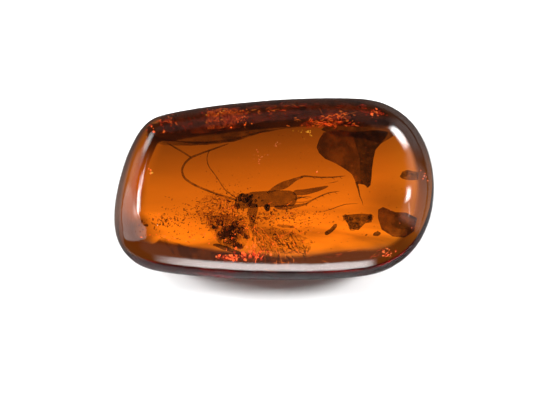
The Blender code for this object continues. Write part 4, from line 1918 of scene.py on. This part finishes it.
@dataclass
class Veils:
    """The clouds and cracks along the back and front edges, with threads that glow in them; the dark
    veils are painted shade, and every glow is painted light.
    """

    outline: Outline
    thickness: float = 0.08
    ruffle: float = 0.5         # how far a veil wanders up and down
    margin: float = 1.3         # threads keep this far inside the outline
    height_play: float = 0.25
    heading_play: float = 12.0  # degrees
    veils: tuple[Veil, ...] = (
        # painted shade: a dark mottled sheet that darkens the back edge; its faint glow is painted
        # light
        Veil("back_shade_cloud", 4.9, (0.03, 0.009, 0.005), (0.14, 0.04, 0.018), 0.4, (0.46, 0.08), 0.25,
             ((-15.2, 5.6), (-12.6, 5.0), (-8.5, 4.95), (-5.0, 5.4), (-1.6, 6.5), (1.6, 7.0),
              (6.0, 7.6), (10.0, 7.5), (13.4, 6.9), (14.4, 8.0), (12.4, 9.9), (8.6, 10.6),
              (3.0, 10.5), (-2.0, 10.0), (-7.5, 9.3), (-11.0, 8.8),
              (-13.6, 7.6)), stretch=(1.0, 1.6, 1.0)),
        Veil("corner_shade", 4.5, (0.04, 0.014, 0.006), (0.16, 0.05, 0.02), 0.5, (0.34, 0.14), 0.2,
             ((-15.4, 5.5), (-13.8, 4.95), (-10.5, 4.85), (-7.0, 5.1), (-4.0, 5.7), (-1.8, 6.6),
              (-4.5, 7.0), (-9.0, 6.6), (-13.5, 6.6)), stretch=(0.6, 1.8, 1.0)),
        Veil("leaf_shade", 4.4, (0.04, 0.014, 0.006), (0.16, 0.05, 0.02), 0.7, (0.6, 0.34), 0.2,
             ((5.8, 6.9), (7.6, 6.1), (10.4, 5.9), (13.2, 5.2), (14.6, 6.1), (14.6, 7.6),
              (12.6, 8.0), (9.0, 7.8), (6.6, 7.7))),
        Veil("lump_haze", 4.0, (0.14, 0.03, 0.008), (0.4, 0.1, 0.02), 1.3, (0.46, 0.08), 0.3,
             ((-8.4, -4.2), (-6.6, -3.8), (-4.8, -4.0), (-3.4, -5.0), (-3.0, -6.4), (-3.9, -7.5),
              (-5.6, -7.6), (-6.9, -6.8), (-8.0, -5.6))),
        Veil("speck_haze", 5.0, (0.3, 0.05, 0.01), (0.6, 0.12, 0.02), 2.2, (0.2, 0.0), 0.45,
             ((-9.8, -2.6), (-8.4, -1.4), (-6.4, -1.3), (-5.0, -2.2), (-4.4, -3.4), (-5.4, -4.6),
              (-7.6, -5.0), (-9.4, -4.2))),
        # painted glints: this red cloud and the next two cracks glow red and orange
        Veil("back_red_glint_cloud", 5.3, (0.4, 0.06, 0.015), (0.9, 0.2, 0.05), 1.0, (0.0, 0.24), 0.1,
             ((-14.2, 6.4), (-9.0, 6.4), (-5.5, 6.9), (-1.0, 7.9), (4.0, 8.2), (10.4, 8.3),
              (12.6, 8.6), (9.0, 10.0), (2.0, 9.9), (-3.0, 9.5), (-8.4, 9.0),
              (-12.4, 8.2)), stretch=(0.7, 1.3, 1.0)),
        Veil("back_left_crack_glint", 5.7, (0.6, 0.08, 0.015), (1.0, 0.25, 0.05), 2.0, (0.0, 0.5), 0.3,
             ((-8.6, 6.9), (-6.8, 7.0), (-5.0, 7.4), (-3.9, 8.3), (-4.6, 9.2), (-6.6, 9.4),
              (-8.3, 8.9))),
        Veil("back_right_crack_glint", 5.7, (0.6, 0.08, 0.015), (1.0, 0.22, 0.05), 2.0, (0.0, 0.34), 0.16,
             ((3.0, 7.2), (5.4, 7.1), (8.0, 7.5), (9.6, 8.2), (9.2, 8.9), (6.6, 8.8),
              (4.0, 8.1)), stretch=(0.5, 1.8, 1.0)),
        # painted shade: a dark sheet that darkens the front edge
        Veil("front_shade_cloud", 5.0, (0.03, 0.005, 0.002), (0.12, 0.02, 0.008), 0.5, (0.34, 0.04), 0.2,
             ((-14.0, -6.2), (-11.0, -7.3), (-7.0, -8.1), (-2.0, -8.3), (0.6, -8.2), (0.9, -9.2),
              (-3.5, -9.6), (-8.5, -9.3), (-12.4, -8.2)), stretch=(1.6, 0.8, 1.0)),
        Veil("needle_haze", 3.6, (0.06, 0.02, 0.004), (0.3, 0.1, 0.02), 1.1, (0.26, 0.0), 0.2,
             ((-2.6, -5.4), (-0.5, -5.3), (2.5, -5.9), (4.6, -6.6), (4.4, -7.6), (1.8, -8.0),
              (-0.8, -7.8), (-2.4, -7.0)), stretch=(0.5, 1.6, 1.0)),
    )
    tangles: tuple[Tangle, ...] = (
        Tangle(6.3, 7.8, 5.8, 1.4, 0.2, 20, 1.6, 6, 18, 0.045, (ORANGE, HOT, RED)),
        Tangle(8.1, 8.4, 5.8, 0.8, 0.3, 11, 1.2, 8, 34, 0.046, (ORANGE, ORANGE, HOT)),
        Tangle(4.6, 7.9, 5.8, 0.7, 0.15, 5, 1.6, -8, 14, 0.036, (RED,)),
        Tangle(-6.4, 8.4, 5.6, 1.1, 0.6, 16, 0.8, 60, 45, 0.045, (ORANGE, RED, RED)),
        Tangle(-3.6, 8.6, 5.6, 0.9, 0.3, 13, 0.9, 18, 30, 0.036, (RED, ORANGE)),
        Tangle(-0.8, 9.0, 5.4, 1.4, 0.18, 11, 1.3, 8, 16, 0.032, (RED, ORANGE)),
        Tangle(4.0, 9.6, 5.2, 2.6, 0.16, 17, 1.4, 1, 12, 0.032, (RED, RED, ORANGE)),
        Tangle(10.6, 9.2, 5.2, 1.3, 0.25, 12, 1.2, -8, 20, 0.04, (RED,)),
        Tangle(-13.4, 7.6, 5.2, 1.0, 0.5, 14, 0.9, 35, 40, 0.045, (RED, RED, HOT)),
        Tangle(-10.4, 7.6, 5.2, 0.5, 0.7, 7, 1.2, 95, 18, 0.04, (RED,)),
        Tangle(-5.2, -8.6, 5.6, 1.1, 0.3, 16, 0.8, -88, 22, 0.07, (RED, HOT)),
        Tangle(-2.3, -8.0, 5.6, 0.7, 0.5, 16, 1.1, -86, 14, 0.07, (HOT, RED)),
        Tangle(14.2, -8.6, 5.6, 1.1, 0.45, 20, 1.0, 40, 18, 0.06, (RED, RED, HOT)),
        Tangle(9.0, -8.6, 5.2, 2.4, 0.2, 13, 1.4, 2, 8, 0.032, (ORANGE, RED)),
    )

    def build_veils(self, shop: Workshop) -> None:
        """Model the veils, each a piece of its own.

        Args:
            shop: Where the finished pieces go.
        """
        for number, veil in enumerate(self.veils):
            clay = Sculptor(seed=50 + number)
            level = veil.height
            clay.flake(veil.corners, self.thickness, cuts=4, roughness=self.ruffle,
                       lift=lambda x, y, level=level: level)
            shop.seal(veil.name, clay, "debris", [veil.finish])

    def build_threads(self, shop: Workshop) -> None:
        """Scatter the threads of each tangle.

        Args:
            shop: Where the finished pieces go.
        """
        clay = Sculptor(seed=60)
        pick = clay.chance
        for tangle in self.tangles:
            for _ in range(tangle.count):
                place = at_depth(tangle.x + pick.gauss(0, tangle.wide),
                                 tangle.y + pick.gauss(0, tangle.deep),
                                 tangle.z + pick.uniform(-self.height_play, self.height_play))
                if not self.outline.holds(place, self.margin):
                    continue
                heading = tangle.heading + pick.gauss(0, self.heading_play)
                length = tangle.length * pick.uniform(0.3, 1.0)
                thick = tangle.thick * pick.uniform(0.5, 1.0)
                clay.curl(place, heading, length, tangle.wander, thick,
                          material=pick.choice(tangle.hues))
        shop.seal("glowing_threads", clay, "debris", HUE_FINISHES)

    def build(self, shop: Workshop) -> None:
        """Model and dress the veils, then the threads."""
        self.build_veils(shop)
        self.build_threads(shop)


def main() -> None:
    """Build the specimen and its stage."""
    logging.basicConfig(level=logging.INFO, format="%(message)s")
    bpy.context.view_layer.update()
    outline = Outline()
    stone = Stone(outline)
    shop = Workshop(mottle_group())
    shop.add("amber_stone", stone.build(), "amber", [AmberFinish().make()],
             ("amber_lower", "amber_upper"), ROUND)
    Cricket().build(shop)
    PlantScraps().build(shop)
    Debris(outline).build(shop)
    Fibres().build(shop)
    Glints(outline).build(shop)
    Veils(outline).build(shop)
    Studio(outline, stone).build()


if __name__ == "__main__":
    main()
